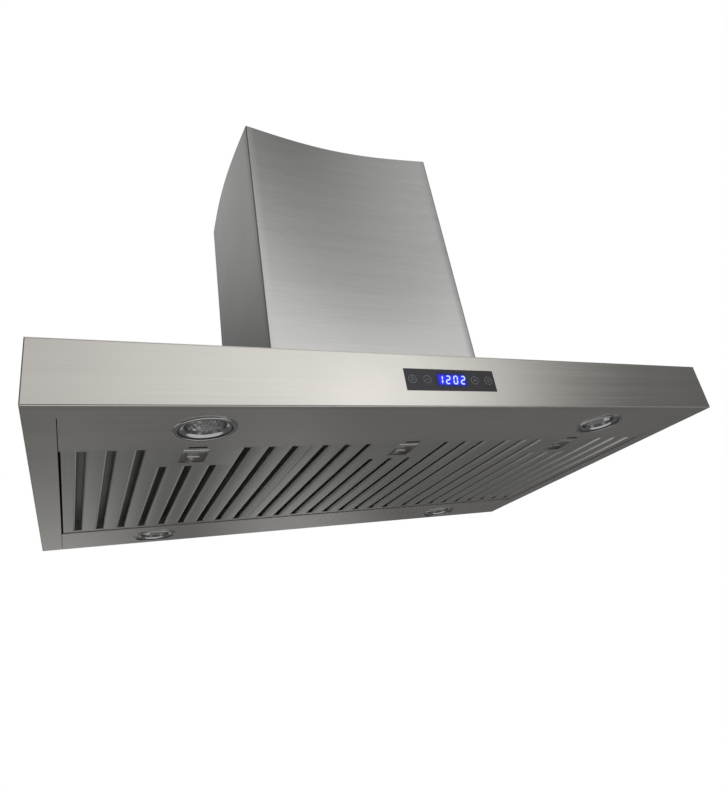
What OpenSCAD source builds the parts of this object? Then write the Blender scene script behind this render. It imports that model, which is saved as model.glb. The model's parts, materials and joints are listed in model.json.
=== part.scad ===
// Island range hood: a flat box canopy hung under a square chimney from a ceiling frame.
// Frame: origin at the centre of the ceiling plate's top face, +X to the right, +Y to the
// back, +Z up, so the hood hangs down from z = 0. Millimetres.

/* [Canopy] */
// Width of the canopy, left to right
canopy_w = 900; // [840:5:1200]
// Depth of the canopy, front to back
canopy_d = 600; // [560:5:760]
// Height of the canopy box
canopy_h = 68; // [62:1:90]
// Thickness of the steel sheet
sheet_t = 1.2; // [1:0.1:2]
// Depth of the front underside rail
front_rail_d = 121; // [105:1:150]
// Depth of the rear underside rail
rear_rail_d = 110; // [100:1:140]
// Width of the folded flange along each side
side_flange_w = 29; // [20:1:40]
// Length of unslit flange at the front corners
corner_flange_d = 31; // [15:1:60]
// Width of the slit between a rail and a side flange
slit_w = 0.8; // [0.6:0.1:2]
// Width of the folded hem that the filters rest on
hem_w = 11; // [9:0.5:16]

/* [Filters] */
// Height of a filter cassette
filter_h = 19.5; // [16:0.5:24]
// Gap between neighbouring filters
filter_gap = 0.8; // [0.6:0.1:3]
// Gap between an outer filter and the side flange
filter_side_gap = 2.3; // [1:0.1:5]
// How far the filter faces sit above the underside
filter_recess = 0.5; // [0.4:0.1:2]
// Distance between slot centres
slot_pitch = 29.9; // [28:0.1:31]
// Clear width of a slot
slot_w = 8; // [6:0.5:10]
// Height of the turned-up lips along the slots
slot_lip_h = 6; // [4:0.5:7]
// Width of an inner baffle channel
baffle_w = 22; // [18:0.5:25]

/* [Latches] */
// Width of the latch cup inside
cup_w = 30; // [26:1:36]
// Length of the latch cup inside, front to back
cup_l = 44; // [38:1:52]
// Distance from the filter's front edge to the cup
cup_setback = 6; // [4:0.5:10]
// Travel of the latch slide
latch_travel = 8; // [5:0.5:10]
// How far the latch tongue reaches over the front rail
tongue_reach = 2.5; // [1.5:0.1:4]
// Width of the latch tongue
tongue_w = 18; // [12:1:24]

/* [Lamps] */
// Distance of the lamps from the centre line
lamp_x = 281; // [200:1:340]
// Distance of the front lamps from the front face
lamp_front_setback = 62; // [50:1:80]
// Distance of the rear lamps from the back face
lamp_rear_setback = 48; // [45:1:60]
// Outer diameter of a lamp's trim ring
lamp_ring_d = 68; // [60:1:80]
// Diameter of a lamp's hole in the rail
lamp_hole_d = 58; // [52:1:64]
// Diameter of the clear opening of a trim ring
lamp_mouth_d = 43; // [36:1:46]
// How far a trim ring stands below the rail
lamp_ring_proud = 1.6; // [1:0.1:3]

/* [Control panel] */
// Width of the control glass
panel_w = 127; // [110:1:160]
// Height of the control glass
panel_h = 28.5; // [24:0.5:32]
// Height of the glass centre above the underside
panel_z = 34.5; // [30:0.5:38]
// How far the glass stands out of the front face
panel_proud = 0.5; // [0:0.1:2]

/* [Chimney] */
// Width of the chimney
chimney_w = 340; // [330:5:400]
// Depth of the chimney
chimney_d = 285; // [280:5:340]
// Height of the chimney above the canopy
chimney_h = 506; // [500:5:900]
// Depth of the front chimney cover, up to the side seam
chimney_front_d = 176; // [120:1:200]

/* [Ceiling frame] */
// Width of the frame over its posts
frame_w = 300; // [290:1:310]
// Depth of the frame over its posts
frame_d = 244; // [236:1:250]
// Width of a post's leg
post_leg = 20; // [16:1:24]
// Thickness of the post steel
post_t = 1.5; // [1.2:0.1:2]
// Thickness of the ceiling plate
ceiling_plate_t = 3; // [2:0.5:5]
// Diameter of the duct hole in the ceiling plate
ceiling_hole_d = 200; // [180:1:210]
// Ceiling bolt spacing, left to right
ceiling_bolt_x = 240; // [220:1:250]
// Ceiling bolt spacing, front to back
ceiling_bolt_y = 190; // [170:1:200]
// Diameter of the ceiling bolt holes
ceiling_bolt_d = 9; // [7:0.5:11]

/* [Blower] */
// Width of the motor box
box_w = 250; // [240:1:256]
// Depth of the motor box
box_d = 200; // [190:1:206]
// Height of the motor box
box_h = 300; // [290:1:330]
// Radius of the blower wheel
wheel_r = 70; // [55:1:72]
// Width of the blower wheel
wheel_w = 80; // [60:1:84]
// Number of blades on the blower wheel
blade_count = 30; // [16:1:40]
// Radius of the motor can
motor_r = 42; // [30:1:46]
// Radius of the motor shaft
shaft_r = 4; // [3:0.5:6]

/* [Duct outlet] */
// Outside radius of the duct collar
collar_r = 75; // [60:0.5:76]
// Height of the duct collar
collar_h = 45; // [35:1:60]
// Radius of the damper pin
damper_pin_r = 2; // [1.5:0.1:3]
// Radius of the power cable inlet
inlet_r = 4; // [3:0.5:5]

/* [Fits] */
// Gap between pieces that must not touch
gap = 0.3; // [0.2:0.05:0.5]
// Radial gap of a shaft or pin in its hole
running_gap = 0.06; // [0.02:0.01:0.1]

/* [Hidden] */
$fn = 96;
steel = "#b9b6b1";
dark_steel = "#77736e";
CORNERS = [[-1, -1], [1, -1], [-1, 1], [1, 1]];

// Heights, from the canopy's underside
deck_z = canopy_h - sheet_t;
chimney_top_z = canopy_h + chimney_h;
hem_z = 2 * sheet_t;
filter_top_z = filter_recess + filter_h;
wall_top_z = 12;

// Places across the canopy
half_w = canopy_w / 2;
half_d = canopy_d / 2;
bay_half_w = half_w - side_flange_w;
bay_front_y = -half_d + front_rail_d;
bay_rear_y = half_d - rear_rail_d;
rear_slit_end_y = half_d - 15;
bulkhead_y = bay_rear_y + hem_w + 3;
lamp_front_y = -half_d + lamp_front_setback;
lamp_rear_y = half_d - lamp_rear_setback;

// Filters
filter_w = (2 * bay_half_w - 2 * filter_side_gap - 2 * filter_gap) / 3;
filter_pitch = filter_w + filter_gap;
filter_front_y = bay_front_y + 1.4;
filter_back_y = bay_rear_y - 6;
filter_lip_z = hem_z + gap;
filter_lip_end_y = bay_rear_y + hem_w - 3;
frame_t = 1;
slot_count = 9;
slot_end_margin = 8;
short_slots = [3, 4, 5];
short_slot_y = filter_front_y + cup_setback + cup_l + 13;
cross_bar_y = short_slot_y - 4;
cross_bar_x = slot_pitch + baffle_w / 2 + 2;
lip_t = 1;
baffle_z = filter_top_z - 9.5;
baffle_t = 1;

// Latches
cup_front_y = filter_front_y + cup_setback;
cup_back_y = cup_front_y + cup_l;
cup_t = 1;
cup_roof_z = 11.5;
tongue_z = 6;
tongue_t = 1.6;
tongue_gap = 0.4;
tongue_tip_y = bay_front_y - sheet_t - tongue_reach;
notch_w = tongue_w + 3;
stem_end_y = cup_back_y - latch_travel - 6;
spring_r = 3;
spring_wire_r = 0.4;
spring_turns = 5;
spring_z = filter_recess + 6.2;
notch_y = tongue_tip_y - 0.7;

// Chimney and ceiling frame
blower_x = -25;
blower_z = canopy_h + 122;
base_t = 1.5;
box_top_z = canopy_h + base_t + box_h;
deck_hole_w = box_w - 24;
deck_hole_d = box_d - 20;
plate_z = chimney_top_z - ceiling_plate_t;
lower_post_h = 330;
post_overlap = 110;
bolt_r = 3;

// Blower: the scroll is a spiral that widens from its cut-off to the outlet
scroll_t = 1.2;
scroll_inner_r = wheel_r + 6;
scroll_growth = 14;
scroll_w = wheel_w + 12;
outlet_x0 = -4;
outlet_x1 = scroll_inner_r + scroll_growth - 4;
function spiral_r(turn) = scroll_inner_r + scroll_growth * turn;
function spiral(extra) = [for (i = [0 : 48]) let (turn = i / 48, angle = 90 + 270 * turn)
    (spiral_r(turn) + extra) * [cos(angle), sin(angle)]];
motor_y = scroll_w / 2 + scroll_t;
motor_len = 44;
inlet_r0 = wheel_r - 12;

// Duct outlet
collar_t = 1.2;
collar_z = box_top_z;
damper_z = collar_z + 9;
flap_t = 1.2;
knuckle_r = damper_pin_r + 1.6;
knuckle_len = 12;

// Wiring
box_side_x = box_w / 2;
wiring_w = 41;
wiring_l = 96;
wiring_z0 = canopy_h + 62;
wiring_z1 = wiring_z0 + 100;
wiring_t = 1.5;
gland_x = box_side_x + 31;
loom_w = 8;
loom_t = 2;
loom_z = deck_z - gap - loom_t;
loom_x = box_side_x + 14;
socket_z = 38;
socket_h = 13;

// The whole hood hangs from the ceiling plate's top face
module hung() translate([0, 0, -chimney_top_z]) children();

// Box from one corner to the opposite one
module block(low, high) translate(low) cube(high - low);

// ---------- canopy ----------

module rail_slits(y0, y1) for (side = [-1, 1])
    block([side * bay_half_w - slit_w / 2, y0, -1], [side * bay_half_w + slit_w / 2, y1, sheet_t + 1]);

module lamp_hole(x, y) translate([x, y, -1]) cylinder(d = lamp_hole_d, h = sheet_t + 2);

// Notches in the front rail and its upstand, through which the latch tongues swing out
module latch_notches() for (side = [-1, 0, 1]) translate([side * filter_pitch, 0, 0])
    block([-notch_w / 2, notch_y, -1], [notch_w / 2, bay_front_y + 1, wall_top_z + 1]);

module canopy_front() color(steel) hung() difference() {
    union() {
        block([-half_w, -half_d, 0], [half_w, -half_d + sheet_t, deck_z]);
        block([-half_w, -half_d, 0], [half_w, -half_d + corner_flange_d, sheet_t]);
        block([-bay_half_w + slit_w / 2, -half_d, 0], [bay_half_w - slit_w / 2, bay_front_y, sheet_t]);
    }
    for (side = [-1, 1]) lamp_hole(side * lamp_x, lamp_front_y);
    latch_notches();
    block([-panel_w / 2 + 3, -half_d - 1, panel_z - panel_h / 2 + 3],
        [panel_w / 2 - 3, -half_d + sheet_t + 1, panel_z + panel_h / 2 - 3]);
}

module rail_upstand() color(steel) hung() difference() {
    block([-bay_half_w + slit_w / 2, bay_front_y - sheet_t, sheet_t],
        [bay_half_w - slit_w / 2, bay_front_y, wall_top_z]);
    latch_notches();
}

module canopy_rear() color(steel) hung() difference() {
    union() {
        block([-half_w, half_d - sheet_t, 0], [half_w, half_d, deck_z]);
        block([-half_w, rear_slit_end_y, 0], [half_w, half_d, sheet_t]);
        block([-bay_half_w + slit_w / 2, bay_rear_y, 0], [bay_half_w - slit_w / 2, half_d, sheet_t]);
        block([-bay_half_w + slit_w / 2, bay_rear_y, 0],
            [bay_half_w - slit_w / 2, bay_rear_y + hem_w, hem_z]);
    }
    for (side = [-1, 1]) lamp_hole(side * lamp_x, lamp_rear_y);
}

module canopy_side(side) color(steel) hung() scale([side, 1, 1]) {
    block([half_w - sheet_t, -half_d + sheet_t, sheet_t], [half_w, half_d - sheet_t, deck_z]);
    block([bay_half_w + slit_w / 2, -half_d + corner_flange_d, 0], [half_w, rear_slit_end_y, sheet_t]);
    block([bay_half_w + slit_w / 2, -half_d + corner_flange_d, 0],
        [bay_half_w + slit_w / 2 + sheet_t, rear_slit_end_y, wall_top_z]);
}

module canopy_top() color(steel) hung() difference() {
    block([-half_w, -half_d, deck_z], [half_w, half_d, canopy_h]);
    block([-deck_hole_w / 2, -deck_hole_d / 2, deck_z - 1],
        [deck_hole_w / 2, deck_hole_d / 2, canopy_h + 1]);
    block([loom_x - loom_w, -loom_w, deck_z - 1], [loom_x + loom_w, loom_w, canopy_h + 1]);
}

// Walls that part the lamp wiring from the air path; the loom passes through a notch
module bulkhead(y, low_z) color(dark_steel) hung() difference() {
    block([-bay_half_w + 2, y, low_z], [bay_half_w - 2, y + sheet_t, deck_z]);
    block([loom_x - loom_w, y - 1, loom_z - 2], [loom_x + loom_w, y + sheet_t + 1, canopy_h]);
}
module bulkheads() {
    bulkhead(bay_front_y - 2 * sheet_t - tongue_reach - 8, sheet_t);
    bulkhead(bulkhead_y, sheet_t);
}

// ---------- filters ----------

function slot_x(i) = (i - (slot_count - 1) / 2) * slot_pitch;
function is_short(i) = len([for (s = short_slots) if (s == i) s]) > 0;
function slot_y0(i) = is_short(i) ? short_slot_y : filter_front_y + frame_t + 0.6;
slot_y1 = filter_back_y - slot_end_margin;

module filter_frame(side) color(steel) hung() translate([side * filter_pitch, 0, 0]) {
    w = filter_w / 2;
    face_z = filter_recess + sheet_t;
    difference() {
        union() {
            block([-w, filter_front_y, filter_recess], [w, filter_back_y, face_z]);
            for (i = [0 : slot_count - 1])
                block([slot_x(i) - slot_w / 2 - lip_t, slot_y0(i), filter_recess],
                    [slot_x(i) + slot_w / 2 + lip_t, slot_y1, face_z + slot_lip_h]);
            block([-w, filter_front_y, filter_recess], [w, filter_front_y + frame_t, filter_top_z]);
            block([-w, filter_back_y - frame_t, filter_recess], [w, filter_back_y, filter_top_z]);
            for (x = [-w, w - frame_t])
                block([x, filter_front_y, filter_recess], [x + frame_t, filter_back_y, filter_top_z]);
            block([-w, filter_back_y - frame_t, filter_lip_z],
                [w, filter_lip_end_y, filter_lip_z + sheet_t]);
            block([-cross_bar_x, cross_bar_y - frame_t, face_z], [cross_bar_x, cross_bar_y, filter_top_z]);
        }
        for (i = [0 : slot_count - 1])
            block([slot_x(i) - slot_w / 2, slot_y0(i) - 0.01, filter_recess - 1],
                [slot_x(i) + slot_w / 2, slot_y1 + 0.01, face_z + slot_lip_h + 1]);
        block([-cup_w / 2, cup_front_y, filter_recess - 1], [cup_w / 2, cup_back_y, face_z + 1]);
        block([-tongue_w / 2 - tongue_gap, filter_front_y - 1, tongue_z - tongue_gap],
            [tongue_w / 2 + tongue_gap, filter_front_y + frame_t + 1, tongue_z + tongue_t + tongue_gap]);
    }
}

// Inner channels that cover the slots from above, so the air has to turn twice
module filter_baffles(side) color(dark_steel) hung() translate([side * filter_pitch, 0, 0])
    for (i = [0 : slot_count - 1]) {
        y0 = is_short(i) ? cross_bar_y : filter_front_y + frame_t;
        y1 = filter_back_y - frame_t;
        x = slot_x(i);
        block([x - baffle_w / 2, y0, filter_top_z - 0.5 - baffle_t],
            [x + baffle_w / 2, y1, filter_top_z - 0.5]);
        for (edge = [x - baffle_w / 2, x + baffle_w / 2 - baffle_t])
            block([edge, y0, baffle_z], [edge + baffle_t, y1, filter_top_z - 0.5]);
    }

module latch_cup(side) color(steel) hung() translate([side * filter_pitch, 0, 0]) difference() {
    face_z = filter_recess + sheet_t;
    block([-cup_w / 2 - cup_t, cup_front_y - cup_t, face_z],
        [cup_w / 2 + cup_t, cup_back_y + cup_t, cup_roof_z + cup_t]);
    block([-cup_w / 2, cup_front_y, face_z - 1], [cup_w / 2, cup_back_y, cup_roof_z]);
    block([-tongue_w / 2 - tongue_gap, cup_front_y - cup_t - 1, tongue_z - tongue_gap],
        [tongue_w / 2 + tongue_gap, cup_front_y + 1, tongue_z + tongue_t + tongue_gap]);
}

// Spring-loaded slide: a tongue over the front rail, a finger bar and a stem for the spring
module latch_slide(side) color(steel) hung() translate([side * filter_pitch, 0, 0]) {
    bar_y = cup_front_y + 1;
    bar_l = 9;
    stem_w = 14;
    block([-tongue_w / 2, tongue_tip_y, tongue_z], [tongue_w / 2, bar_y + bar_l, tongue_z + tongue_t]);
    block([-cup_w / 2 + 0.6, bar_y, filter_recess + 0.3], [cup_w / 2 - 0.6, bar_y + bar_l, tongue_z]);
    block([-stem_w / 2, bar_y + bar_l, tongue_z], [stem_w / 2, stem_end_y, tongue_z + tongue_t]);
    block([-stem_w / 2, stem_end_y - 3, filter_recess + 1.2], [stem_w / 2, stem_end_y, tongue_z]);
    block([-stem_w / 2, bar_y + bar_l, tongue_z + tongue_t],
        [stem_w / 2, stem_end_y, cup_roof_z - gap]);
}

// Coil spring between the stem and the cup's back wall: a round wire swept along a helix
function on_coil(turn, r, y) = let (a = 360 * turn) [r * cos(a), y, spring_z + r * sin(a)];
module latch_spring(side) color("silver") hung() translate([side * filter_pitch, 0, 0]) {
    y0 = stem_end_y + gap + spring_wire_r;
    y1 = cup_back_y - gap - spring_wire_r;
    steps = spring_turns * 12;
    sides = 6;
    rings = [for (i = [0 : steps]) [for (k = [0 : sides - 1])
        on_coil(i / 12, spring_r + spring_wire_r * cos(60 * k),
            y0 + (y1 - y0) * i / steps + spring_wire_r * sin(60 * k))]];
    walls = [for (i = [0 : steps - 1]) for (k = [0 : sides - 1])
        [i * sides + k, i * sides + (k + 1) % sides,
            (i + 1) * sides + (k + 1) % sides, (i + 1) * sides + k]];
    caps = [[for (k = [sides - 1 : -1 : 0]) k], [for (k = [0 : sides - 1]) steps * sides + k]];
    polyhedron([for (ring = rings) for (point = ring) point], concat(walls, caps), convexity = 8);
}

// ---------- lamps ----------

// Trim ring: a flat bezel under the rail and a tube up through it, with a shelf for the reflector
ring_tube_r = lamp_hole_d / 2 - 0.5;
shelf_z = 5;
reflector_r = 25;
module lamp_ring(side, y) color("silver") hung() translate([side * lamp_x, y, 0]) rotate_extrude()
    polygon([
        [lamp_mouth_d / 2, shelf_z], [lamp_mouth_d / 2 + 0.8, shelf_z - 2],
        [lamp_ring_d / 2 - 7.5, -0.2], [lamp_ring_d / 2 - 6, -0.2],
        [lamp_ring_d / 2 - 4.5, -lamp_ring_proud], [lamp_ring_d / 2 - 1, -lamp_ring_proud],
        [lamp_ring_d / 2, -0.6], [lamp_ring_d / 2, 0], [ring_tube_r, 0],
        [ring_tube_r, 16], [ring_tube_r - 1, 16], [ring_tube_r - 1, shelf_z + 1],
        [lamp_mouth_d / 2, shelf_z + 1],
    ]);

// Dished reflector: an outer and an inner wall that follow the same parabola
function dish_r(z) = 6 + (reflector_r - 6) * sqrt(1 - z / 30);
module lamp_reflector(side, y) color("white") hung() translate([side * lamp_x, y, shelf_z + 1])
    rotate_extrude() polygon(concat(
        [for (z = [0 : 4 : 24]) [dish_r(z), z + 1.2]], [[8, 30], [8, 31], [6.5, 31]],
        [for (z = [24 : -4 : 0]) [dish_r(z) - 1.4, z + 0.2]], [[reflector_r - 0.2, 0], [reflector_r, 0]]
    ));

module lamp_capsules() color("white") hung() for (side = [-1, 1]) for (y = [lamp_front_y, lamp_rear_y])
    translate([side * lamp_x, y, 0]) {
        capsule_r = 4.5;
        translate([0, 0, 16]) cylinder(r = capsule_r, h = 12);
        translate([0, 0, 12]) cylinder(r1 = 1.5, r2 = capsule_r, h = 4);
        translate([0, 0, 28]) cylinder(r = 3.5, h = socket_z - 28);
    }

module lamp_sockets() color("ivory") hung() for (side = [-1, 1]) for (y = [lamp_front_y, lamp_rear_y])
    translate([side * lamp_x, y, socket_z]) cylinder(r = 9, h = socket_h);

// ---------- control panel ----------

panel_back_y = -half_d + sheet_t;
housing_d = 18;
module control_glass() color("black") hung() union() {
    block([-panel_w / 2, -half_d - panel_proud, panel_z - panel_h / 2],
        [panel_w / 2, -half_d, panel_z + panel_h / 2]);
    block([-panel_w / 2 + 3.3, -half_d, panel_z - panel_h / 2 + 3.3],
        [panel_w / 2 - 3.3, panel_back_y + 0.8, panel_z + panel_h / 2 - 3.3]);
}
module control_housing() color("dimgray") hung() difference() {
    block([-panel_w / 2 - 2, panel_back_y, panel_z - panel_h / 2],
        [panel_w / 2 + 2, panel_back_y + housing_d, panel_z + panel_h / 2]);
    block([-panel_w / 2 + 2, panel_back_y - 1, panel_z - panel_h / 2 + 2],
        [panel_w / 2 - 2, panel_back_y + housing_d - 2, panel_z + panel_h / 2 - 2]);
}
module control_board() color("green") hung()
    block([-panel_w / 2 + 2, panel_back_y + 9, panel_z - panel_h / 2 + 2],
        [panel_w / 2 - 2, panel_back_y + 10.6, panel_z + panel_h / 2 - 2]);
module control_display() color("#202028") hung()
    block([-22, panel_back_y + 1.1, panel_z - 8], [22, panel_back_y + 9, panel_z + 8]);
module touch_pads() color("silver") hung() for (x = [-53.7, -33.6, 33.6, 53.7])
    translate([x, panel_back_y + 1.1, panel_z]) rotate([-90, 0, 0]) cylinder(r = 4, h = 7.9);

// ---------- chimney ----------

module chimney_front() color(steel) hung() difference() {
    block([-chimney_w / 2, -chimney_d / 2, canopy_h],
        [chimney_w / 2, -chimney_d / 2 + chimney_front_d - 0.2, chimney_top_z]);
    block([-chimney_w / 2 + sheet_t, -chimney_d / 2 + sheet_t, canopy_h - 1],
        [chimney_w / 2 - sheet_t, chimney_d, chimney_top_z + 1]);
}
module chimney_rear() color(steel) hung() difference() {
    block([-chimney_w / 2, -chimney_d / 2 + chimney_front_d + 0.2, canopy_h],
        [chimney_w / 2, chimney_d / 2, chimney_top_z]);
    block([-chimney_w / 2 + sheet_t, -chimney_d, canopy_h - 1],
        [chimney_w / 2 - sheet_t, chimney_d / 2 - sheet_t, chimney_top_z + 1]);
}

// Base tray that the covers, the motor box and the posts stand on
tray_w = chimney_w - 2 * sheet_t - 2 * gap;
tray_d = chimney_d - 2 * sheet_t - 2 * gap;
tray_edge_h = 14;
module frame_base() color(dark_steel) hung() difference() {
    block([-tray_w / 2, -tray_d / 2, canopy_h], [tray_w / 2, tray_d / 2, canopy_h + tray_edge_h]);
    block([-tray_w / 2 + sheet_t, -tray_d / 2 + sheet_t, canopy_h + base_t],
        [tray_w / 2 - sheet_t, tray_d / 2 - sheet_t, canopy_h + tray_edge_h + 1]);
    block([-deck_hole_w / 2, -deck_hole_d / 2, canopy_h - 1],
        [deck_hole_w / 2, deck_hole_d / 2, canopy_h + 5]);
    block([loom_x - loom_w, -loom_w, canopy_h - 1], [loom_x + loom_w, loom_w, canopy_h + 5]);
    for (side = [-1, 1]) for (y = screw_ys) translate([side * (tray_w / 2 + 1), y, screw_z])
        rotate([0, -side * 90, 0]) cylinder(r = 1.6, h = 4);
}
// Small screws that hold the covers to the tray from the inside
screw_ys = [-100, -10, 70, 110];
screw_z = canopy_h + 9;
module chimney_screws() color("silver") hung() for (side = [-1, 1]) for (y = screw_ys)
    translate([side * (tray_w / 2 - sheet_t), y, screw_z]) rotate([0, side * 90, 0]) {
        cylinder(r = 1.5, h = sheet_t + gap);
        translate([0, 0, -2]) cylinder(r = 3, h = 2);
    }

// ---------- ceiling frame ----------

module angle(leg) {
    square([leg, post_t]);
    square([post_t, leg]);
}
module posts(z0, z1, inset, leg) for (c = CORNERS)
    translate([c[0] * (frame_w / 2 - inset), c[1] * (frame_d / 2 - inset), z0]) scale([-c[0], -c[1], 1])
        linear_extrude(z1 - z0) angle(leg);
upper_post_z = canopy_h + base_t + lower_post_h - post_overlap;
bolt_zs = [upper_post_z + 25, upper_post_z + 85];
bolt_inset = post_leg * 0.62;

module post_bolt_holes() for (c = CORNERS) for (z = bolt_zs)
    translate([c[0] * (frame_w / 2 - bolt_inset), c[1] * (frame_d / 2 + 1), z])
        rotate([c[1] * 90, 0, 0]) cylinder(r = bolt_r + running_gap, h = 2 * post_t + 3);
module lower_posts() color("silver") hung() difference() {
    posts(canopy_h + base_t, canopy_h + base_t + lower_post_h, 0, post_leg);
    post_bolt_holes();
}
module upper_posts() color("silver") hung() difference() {
    posts(upper_post_z, plate_z, post_t, post_leg - post_t);
    post_bolt_holes();
}
module frame_bolts() color("gray") hung() for (c = CORNERS) for (z = bolt_zs)
    translate([c[0] * (frame_w / 2 - bolt_inset), c[1] * frame_d / 2, z]) rotate([c[1] * 90, 0, 0]) {
        translate([0, 0, -3]) cylinder(r = 5, h = 3);
        cylinder(r = bolt_r, h = 2 * post_t);
        translate([0, 0, 2 * post_t]) cylinder(r = 5, h = 4, $fn = 6);
    }
module ceiling_plate() color("silver") hung() difference() {
    block([-frame_w / 2, -frame_d / 2, plate_z], [frame_w / 2, frame_d / 2, chimney_top_z]);
    translate([0, 0, plate_z - 1]) cylinder(d = ceiling_hole_d, h = ceiling_plate_t + 2);
    for (c = CORNERS) translate([c[0] * ceiling_bolt_x / 2, c[1] * ceiling_bolt_y / 2, plate_z - 1])
        cylinder(d = ceiling_bolt_d, h = ceiling_plate_t + 2);
}

// ---------- blower ----------

module motor_box() color("silver") hung() difference() {
    block([-box_w / 2, -box_d / 2, canopy_h + base_t], [box_w / 2, box_d / 2, box_top_z]);
    block([-box_w / 2 + sheet_t, -box_d / 2 + sheet_t, canopy_h],
        [box_w / 2 - sheet_t, box_d / 2 - sheet_t, box_top_z - sheet_t]);
    block([blower_x + outlet_x0, -scroll_w / 2, box_top_z - 5],
        [blower_x + outlet_x1, scroll_w / 2, box_top_z + 1]);
}

// Spiral housing on a left-right section, with its outlet straight up
module scroll_section(extra) {
    polygon(concat([[0, 0]], spiral(extra)));
    translate([outlet_x0 - extra, 0]) square([outlet_x1 - outlet_x0 + 2 * extra,
        box_top_z - sheet_t - gap - blower_z]);
}
module along_y(y0, y1) translate([blower_x, y1, blower_z]) rotate([90, 0, 0])
    linear_extrude(y1 - y0) children();
module blower_scroll() color("dimgray") hung() difference() {
    along_y(-scroll_w / 2 - scroll_t, scroll_w / 2 + scroll_t) scroll_section(scroll_t);
    along_y(-scroll_w / 2, scroll_w / 2) scroll_section(0);
    translate([blower_x + outlet_x0, -scroll_w / 2, box_top_z - 40])
        cube([outlet_x1 - outlet_x0, scroll_w, 60]);
    along_y(-scroll_w, 0) circle(r = inlet_r0);
    along_y(0, scroll_w) circle(r = motor_r + 1);
}

// Bell mouth on the inlet side, with a finger guard
module inlet_ring() color("dimgray") hung() translate([blower_x, -scroll_w / 2 - scroll_t, blower_z])
    rotate([90, 0, 0]) {
        rotate_extrude() polygon([[inlet_r0 - 4, -3], [inlet_r0 - 2.8, -3], [inlet_r0 - 2.8, 0],
            [inlet_r0 + 10, 0], [inlet_r0 + 10, 1.5], [inlet_r0 - 1, 2.5], [inlet_r0 - 4, 2.5]]);
        for (r = [18, 36]) rotate_extrude() translate([r, 0]) square([2, 2.5]);
        for (a = [0 : 60 : 300]) rotate(a) translate([18.5, -1, 0.3]) cube([inlet_r0 - 21.5, 2, 1.9]);
    }

module blower_wheel() color("gray") hung() translate([blower_x, wheel_w / 2, blower_z]) rotate([90, 0, 0]) {
    hub_t = 2;
    blade_depth = 11;
    difference() {
        union() {
            cylinder(r = wheel_r, h = hub_t);
            translate([0, 0, hub_t]) cylinder(r = 9, h = 14);
        }
        translate([0, 0, -1]) cylinder(r = shaft_r, h = 20);
    }
    for (i = [0 : blade_count - 1])
        rotate(i * 360 / blade_count) translate([wheel_r - blade_depth, 0, hub_t])
        rotate(-28) cube([blade_depth * 0.9, 0.8, wheel_w - hub_t]);
    translate([0, 0, wheel_w - 3]) difference() {
        cylinder(r = wheel_r, h = 3);
        translate([0, 0, -1]) cylinder(r = wheel_r - blade_depth + 2, h = 5);
    }
}

// Motor: a closed can behind the scroll, whose two end bores carry the shaft
module motor_can() color("silver") hung() translate([blower_x, motor_y + 1.5, blower_z]) rotate([-90, 0, 0])
    difference() {
        cylinder(r = motor_r - 1, h = motor_len);
        translate([0, 0, 4]) cylinder(r = motor_r - 4, h = motor_len - 8);
        translate([0, 0, -1]) cylinder(r = shaft_r + running_gap, h = motor_len + 2);
    }
module motor_shaft() color("silver") hung() translate([blower_x, 0, blower_z]) rotate([-90, 0, 0]) {
    translate([0, 0, wheel_w / 2 - 16]) cylinder(r = shaft_r, h = motor_y + motor_len - wheel_w / 2 + 19);
    translate([0, 0, motor_y + 9]) cylinder(r = motor_r - 12, h = motor_len - 16);
}
module motor_plate() color("silver") hung() along_y(motor_y, motor_y + 1.5) difference() {
    circle(r = motor_r + 12);
    circle(r = motor_r - 8);
}
capacitor_r = 14;
module capacitor() color("white") hung()
    translate([box_side_x - sheet_t - gap - capacitor_r, motor_y + 22, canopy_h + 200])
        cylinder(r = capacitor_r, h = 55);

// ---------- duct outlet ----------

module duct_collar() color("silver") hung() translate([0, 0, collar_z]) {
    difference() {
        union() {
            cylinder(r = collar_r, h = collar_h);
            cylinder(r = collar_r + 11, h = 1.5);
        }
        translate([0, 0, -1]) cylinder(r = collar_r - collar_t, h = collar_h + 2);
        translate([0, -collar_r - 1, damper_z - collar_z]) rotate([-90, 0, 0])
            cylinder(r = damper_pin_r + running_gap, h = 2 * collar_r + 2);
    }
}
module damper_pin() color("silver") hung() translate([0, gap - collar_r, damper_z]) rotate([-90, 0, 0])
    cylinder(r = damper_pin_r, h = 2 * (collar_r - gap));

// Half-round flap with two knuckles on the pin; the other flap's knuckles fill its gaps
module damper_flap(side) color("silver") hung() translate([0, 0, damper_z]) {
    flap_r = collar_r - collar_t - 1;
    knuckle_ys = side < 0 ? [-50, 14] : [-26, 38];
    difference() {
        union() {
            intersection() {
                translate([0, 0, -knuckle_r]) cylinder(r = flap_r, h = flap_t);
                block(side < 0 ? [-flap_r, -flap_r, -knuckle_r - 1] : [knuckle_r + gap, -flap_r, -knuckle_r - 1],
                    side < 0 ? [-knuckle_r - gap, flap_r, 0] : [flap_r, flap_r, 0]);
            }
            for (y = knuckle_ys) {
                translate([0, y, 0]) rotate([-90, 0, 0]) cylinder(r = knuckle_r, h = knuckle_len);
                block([side < 0 ? -knuckle_r - 6 : 0, y, -knuckle_r],
                    [side < 0 ? 0 : knuckle_r + 6, y + knuckle_len, -knuckle_r + flap_t]);
            }
        }
        translate([0, -collar_r, 0]) rotate([-90, 0, 0])
            cylinder(r = damper_pin_r + running_gap, h = 2 * collar_r);
    }
}

// ---------- wiring ----------

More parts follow.
